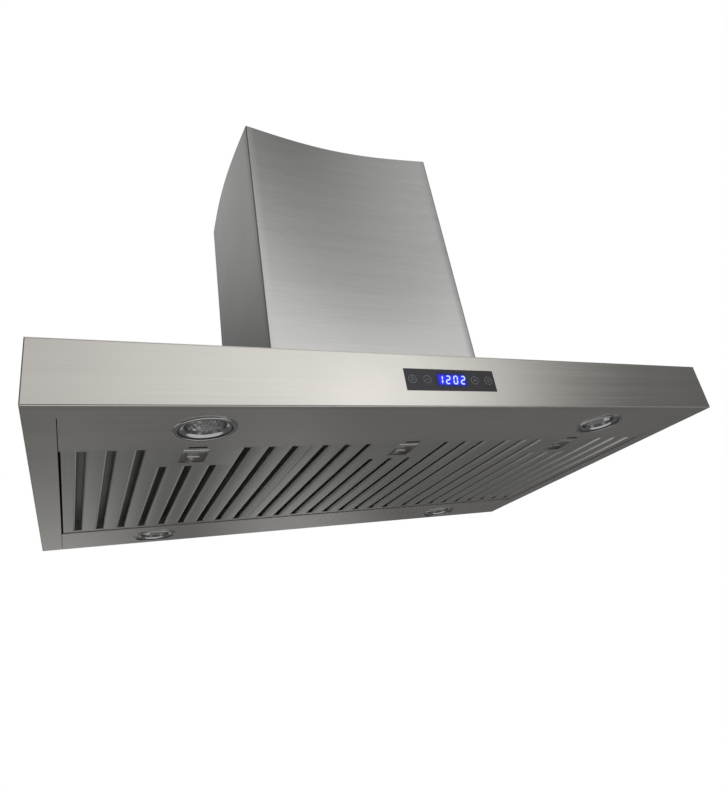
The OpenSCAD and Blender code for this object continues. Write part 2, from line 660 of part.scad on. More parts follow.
module wiring_box() color("white") hung() difference() {
    block([box_side_x, -wiring_l / 2, wiring_z0], [box_side_x + wiring_w, wiring_l / 2, wiring_z1]);
    block([box_side_x + wiring_t, -wiring_l / 2 + wiring_t, wiring_z0 + wiring_t],
        [box_side_x + wiring_w - wiring_t, wiring_l / 2 - wiring_t, wiring_z1 - wiring_t]);
    translate([gland_x, 0, wiring_z1 - 5]) cylinder(r = inlet_r + 2.5, h = 10);
    block([loom_x - loom_w / 2 - gap, -loom_w / 2, wiring_z0 - 1],
        [loom_x + loom_w / 2 + gap, loom_w / 2, wiring_z0 + 5]);
}
// Cable inlet on top of the wiring box
module cable_gland() color("dimgray") hung() translate([gland_x, 0, wiring_z1 - 6]) difference() {
    union() {
        cylinder(r = inlet_r + 2.5 - running_gap, h = 20);
        translate([0, 0, 6]) cylinder(r = inlet_r + 4, h = 6);
    }
    translate([0, 0, -1]) cylinder(r = inlet_r, h = 22);
}

// Flat harness: from the control housing and the four lamps to the wiring box
module loom_run(a, b) block([min(a[0], b[0]) - loom_w / 2, min(a[1], b[1]) - loom_w / 2, loom_z],
    [max(a[0], b[0]) + loom_w / 2, max(a[1], b[1]) + loom_w / 2, loom_z + loom_t]);
module wiring_loom() color("#303030") hung() {
    loom_run([-lamp_x, lamp_front_y], [lamp_x, lamp_front_y]);
    loom_run([-lamp_x, lamp_rear_y], [lamp_x, lamp_rear_y]);
    loom_run([loom_x, lamp_front_y], [loom_x, lamp_rear_y]);
    block([loom_x - loom_w / 2, -1, loom_z], [loom_x + loom_w / 2, 1, wiring_z0 + 20]);
    for (side = [-1, 1]) for (y = [lamp_front_y, lamp_rear_y])
        block([side * lamp_x - 1, y - 3, socket_z + socket_h], [side * lamp_x + 1, y + 3, loom_z + loom_t]);
    loom_run([0, panel_back_y + housing_d - 4], [0, lamp_front_y]);
    block([-3, panel_back_y + housing_d, panel_z], [3, panel_back_y + housing_d + 1.5, loom_z + loom_t]);
}

// ---------- one line a node ----------

canopy_front();
canopy_rear();
canopy_side(-1);  // canopy_side_left
canopy_side(1);  // canopy_side_right
canopy_top();
rail_upstand();
bulkheads();
filter_frame(-1);  // filter_frame_left
filter_frame(0);  // filter_frame_centre
filter_frame(1);  // filter_frame_right
filter_baffles(-1);  // filter_baffles_left
filter_baffles(0);  // filter_baffles_centre
filter_baffles(1);  // filter_baffles_right
latch_cup(-1);  // latch_cup_left
latch_cup(0);  // latch_cup_centre
latch_cup(1);  // latch_cup_right
latch_slide(-1);  // latch_slide_left
latch_slide(0);  // latch_slide_centre
latch_slide(1);  // latch_slide_right
latch_spring(-1);  // latch_spring_left
latch_spring(0);  // latch_spring_centre
latch_spring(1);  // latch_spring_right
lamp_ring(-1, lamp_front_y);  // lamp_ring_front_left
lamp_ring(1, lamp_front_y);  // lamp_ring_front_right
lamp_ring(-1, lamp_rear_y);  // lamp_ring_rear_left
lamp_ring(1, lamp_rear_y);  // lamp_ring_rear_right
lamp_reflector(-1, lamp_front_y);  // lamp_reflector_front_left
lamp_reflector(1, lamp_front_y);  // lamp_reflector_front_right
lamp_reflector(-1, lamp_rear_y);  // lamp_reflector_rear_left
lamp_reflector(1, lamp_rear_y);  // lamp_reflector_rear_right
lamp_capsules();
lamp_sockets();
control_glass();
control_housing();
control_board();
control_display();
touch_pads();
chimney_front();
chimney_rear();
chimney_screws();
frame_base();
lower_posts();
upper_posts();
frame_bolts();
ceiling_plate();
motor_box();
blower_scroll();
inlet_ring();
blower_wheel();
motor_can();
motor_shaft();
motor_plate();
capacitor();
duct_collar();
damper_pin();
damper_flap(-1);  // damper_flap_left
damper_flap(1);  // damper_flap_right
wiring_box();
cable_gland();
wiring_loom();
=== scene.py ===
import json
import math

import bmesh
import bpy
from bpy.props import FloatProperty, FloatVectorProperty, IntProperty, PointerProperty
from bpy.types import Operator, Panel, PropertyGroup
from mathutils import Matrix, Vector


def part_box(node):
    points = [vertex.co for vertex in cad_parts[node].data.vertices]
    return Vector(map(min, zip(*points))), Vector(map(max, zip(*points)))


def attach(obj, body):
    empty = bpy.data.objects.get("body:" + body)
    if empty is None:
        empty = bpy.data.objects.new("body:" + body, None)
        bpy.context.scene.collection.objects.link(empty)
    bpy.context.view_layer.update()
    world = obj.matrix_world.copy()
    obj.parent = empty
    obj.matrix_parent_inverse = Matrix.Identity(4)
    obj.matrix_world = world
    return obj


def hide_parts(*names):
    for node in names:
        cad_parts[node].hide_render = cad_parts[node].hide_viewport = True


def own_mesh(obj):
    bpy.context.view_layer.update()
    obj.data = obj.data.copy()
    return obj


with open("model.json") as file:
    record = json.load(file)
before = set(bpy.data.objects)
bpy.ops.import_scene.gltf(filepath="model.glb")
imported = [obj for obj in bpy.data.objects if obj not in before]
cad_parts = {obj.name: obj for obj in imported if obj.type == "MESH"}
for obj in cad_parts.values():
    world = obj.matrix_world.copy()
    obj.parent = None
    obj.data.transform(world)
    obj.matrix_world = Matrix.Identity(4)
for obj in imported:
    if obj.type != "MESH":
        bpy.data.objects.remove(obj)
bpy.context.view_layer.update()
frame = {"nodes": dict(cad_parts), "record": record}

bl_info = {
    "name": "Island Range Hood",
    "version": (1, 0, 0),
    "blender": (4, 5, 0),
    "location": "View3D > Sidebar > Range Hood",
    "description": "Finishes an island range hood: bent steel shells, baffle filters, lamps and touch panel",
    "category": "Object",
}

MM = 0.001
NODES = frame["nodes"]
SIDES = ("left", "centre", "right")
LAMPS = ("front_left", "front_right", "rear_left", "rear_right")
CANOPY_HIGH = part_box("canopy_top")[1].copy()
UNDERSIDE_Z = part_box("canopy_front")[0].z
SHEET = 1.2 * MM
PLACE_TOLERANCE = 0.1 * MM
# Faces of bent pieces below this area, in square metres, are shaded smooth
FLAT_AREA = 2e-4
SHARP_BEND = math.radians(35)
# How squarely a face looks along an axis before it counts as facing it
FACING = 0.7
# Noise scale along each axis for steel brushed along X or along Y
GRAINS = {"x": (2.5, 950.0, 950.0), "y": (950.0, 2.5, 950.0)}
# Share of white that metal sees from the dark cards themselves
CARD_WHITE = 0.12
# Openings between the studio's dark cards: azimuth from +Y, elevation, half width, share of white
SOFT_BOXES = ((192, 24, 22, 0.6), (164, 22, 20, 0.75), (147, 20, 14, 0.95), (162, 40, 22, 0.38),
              (-15, 46, 22, 0.35), (-2, -7, 11, 0.4), (18, -9, 10, 0.28), (-60, -12, 30, 0.5),
              (120, -28, 26, 0.4), (60, 40, 35, 0.4))
SOFT_BOX_FALLOFF = 1.5
# Area lamps: name, place from the middle of the underside, power in watts, side in metres
STUDIO_LAMPS = (("key", (-1.6, -2.4, 0.9), 60, 1.6), ("fill", (2.2, -1.2, 0.4), 25, 1.8),
                ("back", (0.4, 2.4, 1.0), 30, 1.8))


# ---------- sizes and colours ----------

class HoodSizes(PropertyGroup):
    """Sizes of the modelled shells and trims."""
    bow_front: FloatProperty(name="Front bow", default=0.0165, unit="LENGTH",
                             description="How far the front and rear covers bow in at the top")
    bow_side: FloatProperty(name="Side bow", description="How far the chimney's sides bow out at the top",
                            default=0.0075, unit="LENGTH")
    bend_radius: FloatProperty(name="Bend radius", default=0.0022, unit="LENGTH",
                               description="Outside radius of the chimney's folded corners")
    edge_radius: FloatProperty(name="Edge radius", description="Rounding of the canopy's outer folds",
                               default=0.002, unit="LENGTH")
    lip_radius: FloatProperty(name="Lip radius", description="Outside radius of the rolled lips along a slot",
                              default=0.0032, unit="LENGTH")
    digit_height: FloatProperty(name="Digit height", description="Height of the display's digits",
                                default=0.0118, unit="LENGTH")
    icon_diameter: FloatProperty(name="Key ring", description="Diameter of the ring round each touch key",
                                 default=0.0105, unit="LENGTH")
    facets_round: IntProperty(name="Facets round", description="Mirror facets round a reflector",
                              default=26)
    facets_deep: IntProperty(name="Facets deep", description="Rows of mirror facets in a reflector",
                             default=7)


class HoodColours(PropertyGroup):
    """Base colours of the finishes, as linear values."""
    canopy: FloatVectorProperty(name="Canopy steel", description="Brushed steel of the canopy",
                                subtype="COLOR", default=(0.76, 0.73, 0.685))
    chimney: FloatVectorProperty(name="Chimney steel", description="Brushed steel of the chimney covers",
                                 subtype="COLOR", default=(0.66, 0.655, 0.64))
    filters: FloatVectorProperty(name="Filter steel", description="Brushed steel of the filters",
                                 subtype="COLOR", default=(0.68, 0.67, 0.64))
    # Painted shade: this steel is darkened for the shade that falls inside the hood
    inner: FloatVectorProperty(name="Inner steel", description="Mill finish steel inside the hood",
                               subtype="COLOR", default=(0.16, 0.155, 0.15))
    bright: FloatVectorProperty(name="Bright steel", description="Polished latches and trims",
                                subtype="COLOR", default=(0.74, 0.73, 0.71))
    zinc: FloatVectorProperty(name="Zinc", description="Zinc-coated brackets and boxes",
                              subtype="COLOR", default=(0.55, 0.56, 0.57))
    glass: FloatVectorProperty(name="Panel glass", description="Black glass of the control panel",
                               subtype="COLOR", default=(0.008, 0.009, 0.010))
    glow: FloatVectorProperty(name="Glow", description="Blue glow round the digits",
                              subtype="COLOR", default=(0.005, 0.008, 0.85))
    digits: FloatVectorProperty(name="Digits", description="Lit segments of the display",
                                subtype="COLOR", default=(0.62, 0.80, 1.0))
    legend: FloatVectorProperty(name="Key legend", description="Printed rings and marks of the touch keys",
                                subtype="COLOR", default=(0.16, 0.165, 0.17))
    floor: FloatVectorProperty(name="Floor", description="Plain pale floor",
                               subtype="COLOR", default=(0.78, 0.78, 0.78))


class HoodStage(PropertyGroup):
    """Camera and light of the studio."""
    camera_place: FloatVectorProperty(name="Camera", subtype="XYZ", default=(-0.4011, -0.8631, -0.2449),
                                      description="Camera's place from the middle of the underside")
    camera_yaw: FloatProperty(name="Yaw", description="Turn of the view from +Y towards +X",
                              subtype="ANGLE", default=0.5014)
    camera_pitch: FloatProperty(name="Pitch", description="Rise of the view above level",
                                subtype="ANGLE", default=0.4308)
    camera_roll: FloatProperty(name="Roll", description="Roll of the view",
                               subtype="ANGLE", default=-0.1903)
    lens: FloatProperty(name="Lens", description="Focal length in millimetres", default=28.01)
    shift: FloatVectorProperty(name="Shift", description="Lens shift across and up", size=2,
                               default=(-0.0207, -0.0358))
    ambient: FloatProperty(name="Ambient", description="Strength of the world's plain light",
                           default=0.45)
    floor_drop: FloatProperty(name="Floor drop", description="Height of the underside above the floor",
                              default=1.6, unit="LENGTH")
    floor_radius: FloatProperty(name="Floor radius", description="Radius of the floor",
                                default=1.5, unit="LENGTH")


def sizes():
    return bpy.context.scene.hood_sizes


def colours():
    return bpy.context.scene.hood_colours


# ---------- shaders ----------

class Value:
    """A shader socket that adds Math nodes for the usual operators."""

    def __init__(self, shade, socket):
        self.shade, self.socket = shade, socket

    def _math(self, operation, first, second=None, clamp=False):
        values = [first] if second is None else [first, second]
        node = self.shade.node("ShaderNodeMath", {"operation": operation, "use_clamp": clamp},
                               dict(enumerate(values)))
        return Value(self.shade, node.outputs[0])

    def __add__(self, other):
        return self._math("ADD", self, other)

    def __sub__(self, other):
        return self._math("SUBTRACT", self, other)

    def __rsub__(self, other):
        return self._math("SUBTRACT", other, self)

    def __mul__(self, other):
        return self._math("MULTIPLY", self, other)

    def __truediv__(self, other):
        return self._math("DIVIDE", self, other)

    def __pow__(self, other):
        return self._math("POWER", self, other)

    __radd__, __rmul__ = __add__, __mul__

    def top(self, other):
        return self._math("MAXIMUM", self, other)

    def size(self):
        return self._math("ABSOLUTE", self)

    def clamped(self):
        return self._math("ADD", self, 0.0, clamp=True)


class Shade:
    """One node tree, of a material or the world, with short calls that add nodes to it."""

    def __init__(self, tree):
        self.tree = tree
        self.tree.nodes.clear()

    def node(self, kind, settings=None, values=None):
        """Adds a node, sets its settings, then sets or links its input sockets."""
        node = self.tree.nodes.new(kind)
        for key, setting in (settings or {}).items():
            if key == "stops":
                self._ramp(node, setting)
            else:
                setattr(node, key, setting)
        for key, value in (values or {}).items():
            socket = node.inputs[key]
            if isinstance(value, Value):
                self.tree.links.new(value.socket, socket)
            elif isinstance(value, bpy.types.NodeSocket):
                self.tree.links.new(value, socket)
            else:
                socket.default_value = value
        return node

    def _ramp(self, node, stops):
        elements = node.color_ramp.elements
        while len(elements) < len(stops):
            elements.new(1.0)
        for element, (place, level) in zip(elements, stops):
            element.position = place
            element.color = (level, level, level, 1.0)

    def coordinates(self, name="Object"):
        return self.node("ShaderNodeTexCoord").outputs[name]

    def split(self, vector):
        node = self.node("ShaderNodeSeparateXYZ", values={0: vector})
        return [Value(self, node.outputs[i]) for i in range(3)]

    def noise(self, scale, detail=2.0, offset=0.0):
        """Noise centred on 0.5, with one scale or its own scale along each axis."""
        mapping = self.node("ShaderNodeMapping", values={
            "Vector": self.coordinates(), "Location": (offset,) * 3,
            "Scale": scale if isinstance(scale, tuple) else (scale,) * 3})
        node = self.node("ShaderNodeTexNoise", values={"Vector": mapping.outputs[0], "Scale": 1.0,
                                                       "Detail": detail, "Roughness": 0.6})
        return Value(self, node.outputs["Fac"])

    def ramp(self, value, stops):
        node = self.node("ShaderNodeValToRGB", {"stops": stops}, {"Fac": value})
        return Value(self, node.outputs["Color"])

    def blend(self, factor, first, second):
        node = self.node("ShaderNodeMix", {"data_type": "RGBA"},
                         {"Factor": factor, 6: first, 7: second})
        return node.outputs[2]

    def bump(self, height, strength, distance):
        return self.node("ShaderNodeBump", values={"Height": height, "Strength": strength,
                                                   "Distance": distance}).outputs[0]


def rgba(colour, gain=1.0):
    return tuple(min(1.0, channel * gain) for channel in colour) + (1.0,)


def surface(fill):
    """Turns a function that gives a Principled shader's values into one that makes a material once."""
    def make(name, *settings, **named):
        material = bpy.data.materials.get(name)
        if material is None:
            material = bpy.data.materials.new(name)
            material.use_nodes = True
            shade = Shade(material.node_tree)
            principled = shade.node("ShaderNodeBsdfPrincipled", values=fill(shade, *settings, **named))
            shade.node("ShaderNodeOutputMaterial", values={"Surface": principled.outputs[0]})
        return material
    return make


@surface
def brushed(shade, colour, grain, rough=0.24, contrast=0.075):
    """Brushed steel: fine streaks along the grain, broad banding across it and faint smudges."""
    fine = shade.noise(GRAINS[grain], detail=3.0)
    wide = shade.noise(tuple(scale * 0.07 for scale in GRAINS[grain]), detail=2.0, offset=3.7)
    smudge = shade.noise(7.0, detail=3.0, offset=1.3)
    streak = fine * 0.65 + wide * 0.35
    tone = (streak - 0.5) * 2.2 + 0.5
    return {
        "Base Color": shade.blend(tone.clamped(), rgba(colour, 1 - contrast), rgba(colour, 1 + contrast)),
        "Metallic": 1.0,
        "Roughness": (rough + (streak - 0.5) * 0.12 + (smudge - 0.5) * 0.08).clamped(),
        "Normal": shade.bump(fine, 0.1, 0.0002),
    }


@surface
def mill(shade, colour, rough, spangle=0.0):
    """Plain sheet metal: cloudy tone, small scratches and, on zinc, a crystalline spangle."""
    cloud = shade.noise(28.0, detail=4.0)
    scratch = shade.noise((40.0, 420.0, 160.0), detail=2.0, offset=5.1)
    tone = cloud * 0.6 + scratch * 0.4
    if spangle:
        cells = shade.node("ShaderNodeTexVoronoi", values={"Vector": shade.coordinates(), "Scale": 130.0})
        grey = shade.node("ShaderNodeSeparateColor", values={0: cells.outputs["Color"]})
        tone = tone * (1 - spangle) + Value(shade, grey.outputs[0]) * spangle
    return {
        "Base Color": shade.blend(tone.clamped(), rgba(colour, 0.78), rgba(colour, 1.2)),
        "Metallic": 1.0,
        "Roughness": (rough + (tone - 0.5) * 0.25).clamped(),
        "Normal": shade.bump(tone, 0.12, 0.0003),
    }


@surface
def moulded(shade, colour, rough, coat=0.0):
    """Moulded plastic or rubber: fine grain, slight tone variation and dusty patches."""
    grain = shade.noise(1400.0, detail=2.0)
    dust = shade.noise(22.0, detail=3.0, offset=2.2)
    return {
        "Base Color": shade.blend(dust, rgba(colour, 0.85), rgba(colour, 1.2)),
        "Roughness": (rough + (grain - 0.5) * 0.2 + (dust - 0.5) * 0.15).clamped(),
        "Coat Weight": coat,
        "Normal": shade.bump(grain, 0.1, 0.0002),
    }


@surface
def circuit_board(shade, mask):
    """Circuit board: green mask with a faint grid of tracks."""
    upright = shade.node("ShaderNodeMapping", values={"Vector": shade.coordinates(),
                                                      "Rotation": (math.pi / 2, 0, 0)})
    brick = shade.node("ShaderNodeTexBrick", {"offset": 0.3}, {
        "Vector": upright.outputs[0], "Scale": 160.0, "Color1": rgba(mask), "Color2": (0.03, 0.22, 0.07, 1),
        "Mortar": (0.08, 0.30, 0.10, 1), "Mortar Size": 0.03})
    return {"Base Color": brick.outputs["Color"], "Roughness": 0.35}


@surface
def mirror_metal(shade, colour, rough=0.06):
    """Aluminised reflector: bright metal with a slight haze, and a painted glow with painted glints on its
    facets.
    """
    haze = shade.noise(90.0, detail=3.0)
    painted_glint = shade.ramp(shade.noise((190.0, 190.0, 40.0), detail=1.0, offset=2.9), ((0.4, 0.0), (0.56, 1.0)))
    return {
        "Base Color": shade.blend(haze, rgba(colour, 0.9), rgba(colour)),
        "Metallic": 1.0, "Roughness": (haze * 0.1 + rough).clamped(),
        # Painted glow and glints: emission on the reflector stands in for light that it reflects
        "Emission Color": shade.blend(painted_glint, rgba(colour, 0.3), rgba(colour)), "Emission Strength": 1.4,
    }


@surface
def quartz(shade, colour):
    """Clear capsule glass with a little frost, and a faint painted glow."""
    frost = shade.noise(260.0, detail=2.0)
    return {
        "Base Color": rgba(colour), "Transmission Weight": 0.75, "IOR": 1.46,
        "Roughness": (frost * 0.25 + 0.02).clamped(),
        # Painted glow: the capsule emits a faint light of its own
        "Emission Color": (1.0, 0.96, 0.9, 1.0), "Emission Strength": 0.5,
    }


@surface
def panel_glass(shade, colour):
    """Black glass: a hard gloss with faint finger haze."""
    haze = shade.noise(35.0, detail=4.0)
    return {
        "Base Color": shade.blend(haze, rgba(colour, 0.9), rgba(colour, 1.5)),
        "Roughness": (haze * 0.22 + 0.08).clamped(), "Specular IOR Level": 0.35,
    }


@surface
def lit(shade, colour, strength):
    """Lit segment: even light with slight variation of tone."""
    tone = shade.noise(300.0, detail=1.0)
    return {
        "Base Color": (0.02, 0.02, 0.04, 1.0), "Roughness": 0.5,
        "Emission Color": shade.blend(tone, rgba(colour, 0.92), rgba(colour)), "Emission Strength": strength,
    }


@surface
def glow(shade, colour, centre, half, reach):
    """Blue light that bleeds round the digits and fades to clear glass over a set reach."""
    x, _, z = shade.split(shade.coordinates())
    over_x = ((x - centre.x).size() - half[0]).top(0.0) / reach
    over_z = ((z - centre.z).size() - half[1]).top(0.0) / reach
    level = (1 - (over_x * over_x + over_z * over_z) ** 0.5).clamped() ** 1.6
    return {
        "Base Color": (0.0, 0.0, 0.01, 1.0), "Roughness": 0.25,
        "Emission Color": shade.blend(level, (0.0, 0.0, 0.0, 1.0), rgba(colour)),
        "Emission Strength": 1.0, "Alpha": level,
    }


@surface
def floor_paint(shade, colour):
    """Plain matt paint with the faintest speckle."""
    speckle = shade.noise(60.0, detail=3.0)
    return {"Base Color": shade.blend(speckle, rgba(colour, 0.985), rgba(colour, 1.015)), "Roughness": 0.8}


# How each finish is made, from which colour (one of the HoodColours, or its own) and with which settings
FINISHES = {
    "canopy_steel": (brushed, "canopy", {"grain": "x"}),
    "chimney_steel": (brushed, "chimney", {"grain": "x"}),
    "filter_steel": (brushed, "filters", {"grain": "y"}),
    "latch_steel": (brushed, "bright", {"grain": "x", "rough": 0.3}),
    # Inner and baffle steel take the dark inner colour, which is painted shade
    "inner_steel": (mill, "inner", {"rough": 0.5}),
    "baffle_steel": (mill, "inner", {"rough": 0.5}),
    "spring_steel": (mill, "bright", {"rough": 0.25}),
    "lamp_trim": (mill, "filters", {"rough": 0.3}),
    "pad_metal": (mill, "bright", {"rough": 0.35}),
    "fastener_steel": (mill, "bright", {"rough": 0.3}),
    "zinc_steel": (mill, "zinc", {"rough": 0.38, "spangle": 0.5}),
    "wheel_metal": (mill, "zinc", {"rough": 0.35, "spangle": 0.3}),
    "motor_metal": (mill, (0.6, 0.6, 0.62), {"rough": 0.3}),
    "lamp_ceramic": (moulded, (0.78, 0.75, 0.68), {"rough": 0.7}),
    # Near-black finish painted into the lamp trim's groove as shade
    "lamp_well": (moulded, (0.02, 0.02, 0.02), {"rough": 0.4}),
    "black_plastic": (moulded, (0.03, 0.03, 0.03), {"rough": 0.5}),
    "blower_black": (moulded, (0.035, 0.035, 0.04), {"rough": 0.45}),
    "loom_black": (moulded, (0.03, 0.03, 0.03), {"rough": 0.6}),
    "capacitor_white": (moulded, (0.8, 0.8, 0.78), {"rough": 0.35, "coat": 0.3}),
    "key_legend": (moulded, "legend", {"rough": 0.4}),
    "circuit_board": (circuit_board, (0.02, 0.16, 0.05), {}),
    "lamp_mirror": (mirror_metal, (0.95, 0.95, 0.95), {}),
    "lamp_quartz": (quartz, (0.93, 0.95, 0.97), {}),
    "panel_glass": (panel_glass, "glass", {}),
    "display": (lit, "glow", {"strength": 0.6}),
    "digit_light": (lit, "digits", {"strength": 1.05}),
    "pale_floor": (floor_paint, "floor", {}),
}


def finish(name, **changes):
    """The material of a finish, made once for each way that its grain runs."""
    maker, tone, settings = FINISHES[name]
    settings = {**settings, **changes}
    colour = getattr(colours(), tone) if isinstance(tone, str) else tone
    return maker(f"{name}_{settings['grain']}" if "grain" in settings else name, colour, **settings)


def both_grains(name):
    """A steel brushed along X, then the same steel brushed along Y."""
    return [finish(name, grain=grain) for grain in GRAINS]


# ---------- mesh helpers ----------

def add_piece(name, mesh, slot, body="root", materials=None):
    """Links a mesh as a piece that rides on a body and takes its finish from a slot."""
    piece = bpy.data.objects.new(name, mesh)
    bpy.context.scene.collection.objects.link(piece)
    for material in materials or [finish(slot)]:
        mesh.materials.append(material)
    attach(piece, body)
    return piece


def plain_mesh(bm, name):
    mesh = bpy.data.meshes.new(name)
    bm.to_mesh(mesh)
    bm.free()
    return mesh


def to_mesh(bm, name, flat_area=None):
    """Turns a bmesh into a mesh whose small bent faces are smooth and whose large faces stay flat."""
    bmesh.ops.recalc_face_normals(bm, faces=bm.faces)
    for face in bm.faces:
        face.smooth = flat_area is None or face.calc_area() < flat_area
    for edge in bm.edges:
        if len(edge.link_faces) == 2:
            edge.smooth = edge.calc_face_angle(0.0) < SHARP_BEND
    return plain_mesh(bm, name)


def prism(bm, outline, start, end, plane="xz"):
    """Extrudes a closed outline of (a, b) points in XZ or YZ between two places on the third axis."""
    def place(a, b, c):
        return (a, c, b) if plane == "xz" else (c, a, b)
    first = [bm.verts.new(place(a, b, start)) for a, b in outline]
    last = [bm.verts.new(place(a, b, end)) for a, b in outline]
    count = len(outline)
    for i in range(count):
        bm.faces.new((first[i], first[(i + 1) % count], last[(i + 1) % count], last[i]))
    bm.faces.new(first)
    bm.faces.new(list(reversed(last)))


def slab(bm, low, high):
    """A plain box inside a larger mesh, from one corner to the opposite one."""
    outline = [(low[0], low[2]), (high[0], low[2]), (high[0], high[2]), (low[0], high[2])]
    prism(bm, outline, low[1], high[1])


def arc(centre, radius, start, end, steps):
    """Points on an arc, with its angles in degrees."""
    turns = [math.radians(start + (end - start) * i / steps) for i in range(steps + 1)]
    return [(centre[0] + radius * math.cos(t), centre[1] + radius * math.sin(t)) for t in turns]


def lathe(bm, profile, centre, steps=96):
    """Turns a closed outline of (radius, z) points about the vertical axis through a centre."""
    rings = []
    for i in range(steps):
        across, deep = math.cos(2 * math.pi * i / steps), math.sin(2 * math.pi * i / steps)
        rings.append([bm.verts.new((centre.x + r * across, centre.y + r * deep, centre.z + z))
                      for r, z in profile])
    count = len(profile)
    for i in range(steps):
        here, there = rings[i], rings[(i + 1) % steps]
        for k in range(count):
            bm.faces.new((here[k], there[k], there[(k + 1) % count], here[(k + 1) % count]))


def tube(bm, points, radius, sides):
    """Sweeps a round wire along points."""
    rings = []
    for i, point in enumerate(points):
        along = (points[min(i + 1, len(points) - 1)] - points[max(i - 1, 0)]).normalized()
        side = (side - along * side.dot(along)).normalized() if rings else along.orthogonal().normalized()
        up = along.cross(side)
        turns = [2 * math.pi * k / sides for k in range(sides)]
        rings.append([bm.verts.new(point + radius * (math.cos(turn) * side + math.sin(turn) * up))
                      for turn in turns])
    for here, there in zip(rings, rings[1:]):
        for k in range(sides):
            bm.faces.new((here[k], here[(k + 1) % sides], there[(k + 1) % sides], there[k]))
    bm.faces.new(list(reversed(rings[0])))
    bm.faces.new(rings[-1])


def joined_solids(names):
    """The union of some CAD nodes' solids, as a bmesh with flat faces merged."""
    temporary = []
    for name in names:
        copy = bpy.data.objects.new("joining_" + name, NODES[name].data.copy())
        bpy.context.scene.collection.objects.link(copy)
        cleaner = bmesh.new()
        cleaner.from_mesh(copy.data)
        bmesh.ops.remove_doubles(cleaner, verts=cleaner.verts, dist=1e-6)
        cleaner.to_mesh(copy.data)
        cleaner.free()
        temporary.append(copy)
    base = temporary[0]
    for other in temporary[1:]:
        modifier = base.modifiers.new("join", "BOOLEAN")
        modifier.operation, modifier.solver, modifier.object = "UNION", "EXACT", other
    bpy.context.view_layer.update()
    result = base.evaluated_get(bpy.context.evaluated_depsgraph_get()).to_mesh()
    bm = bmesh.new()
    bm.from_mesh(result)
    for copy in temporary:
        mesh = copy.data
        bpy.data.objects.remove(copy)
        bpy.data.meshes.remove(mesh)
    bmesh.ops.remove_doubles(bm, verts=bm.verts, dist=2e-6)
    bmesh.ops.dissolve_limit(bm, angle_limit=math.radians(0.5), verts=bm.verts, edges=bm.edges)
    return bm


def round_edges(bm, radius, segments, wanted):
    """Bevels the sharp edges for which wanted(middle of the edge) holds."""
    edges = [e for e in bm.edges if len(e.link_faces) == 2 and e.calc_face_angle(0.0) > math.radians(40)
             and wanted((e.verts[0].co + e.verts[1].co) / 2, e)]
    bmesh.ops.bevel(bm, geom=edges, offset=radius, segments=segments, profile=0.5, affect="EDGES",
                    clamp_overlap=True)


def grain_by_side(mesh, side_x=math.inf):
    """Gives the second material to faces that look along X, and to those past side_x that look down."""
    for polygon in mesh.polygons:
        side_rail = abs(polygon.center.x) > side_x and polygon.normal.z < -FACING
        polygon.material_index = 1 if abs(polygon.normal.x) > FACING or side_rail else 0


# ---------- operators ----------

class HOOD_OT_node_finishes(Operator):
    """Give every carried-over node its finish"""
    bl_idname = "hood.node_finishes"
    bl_label = "Node Finishes"

    def execute(self, context):
        slots = {entry["node"]: entry["material_slot"] for entry in frame["record"]["subparts"]}
        for name, node in NODES.items():
            for slot in node.material_slots:
                slot.material = finish(slots[name])
        return {"FINISHED"}


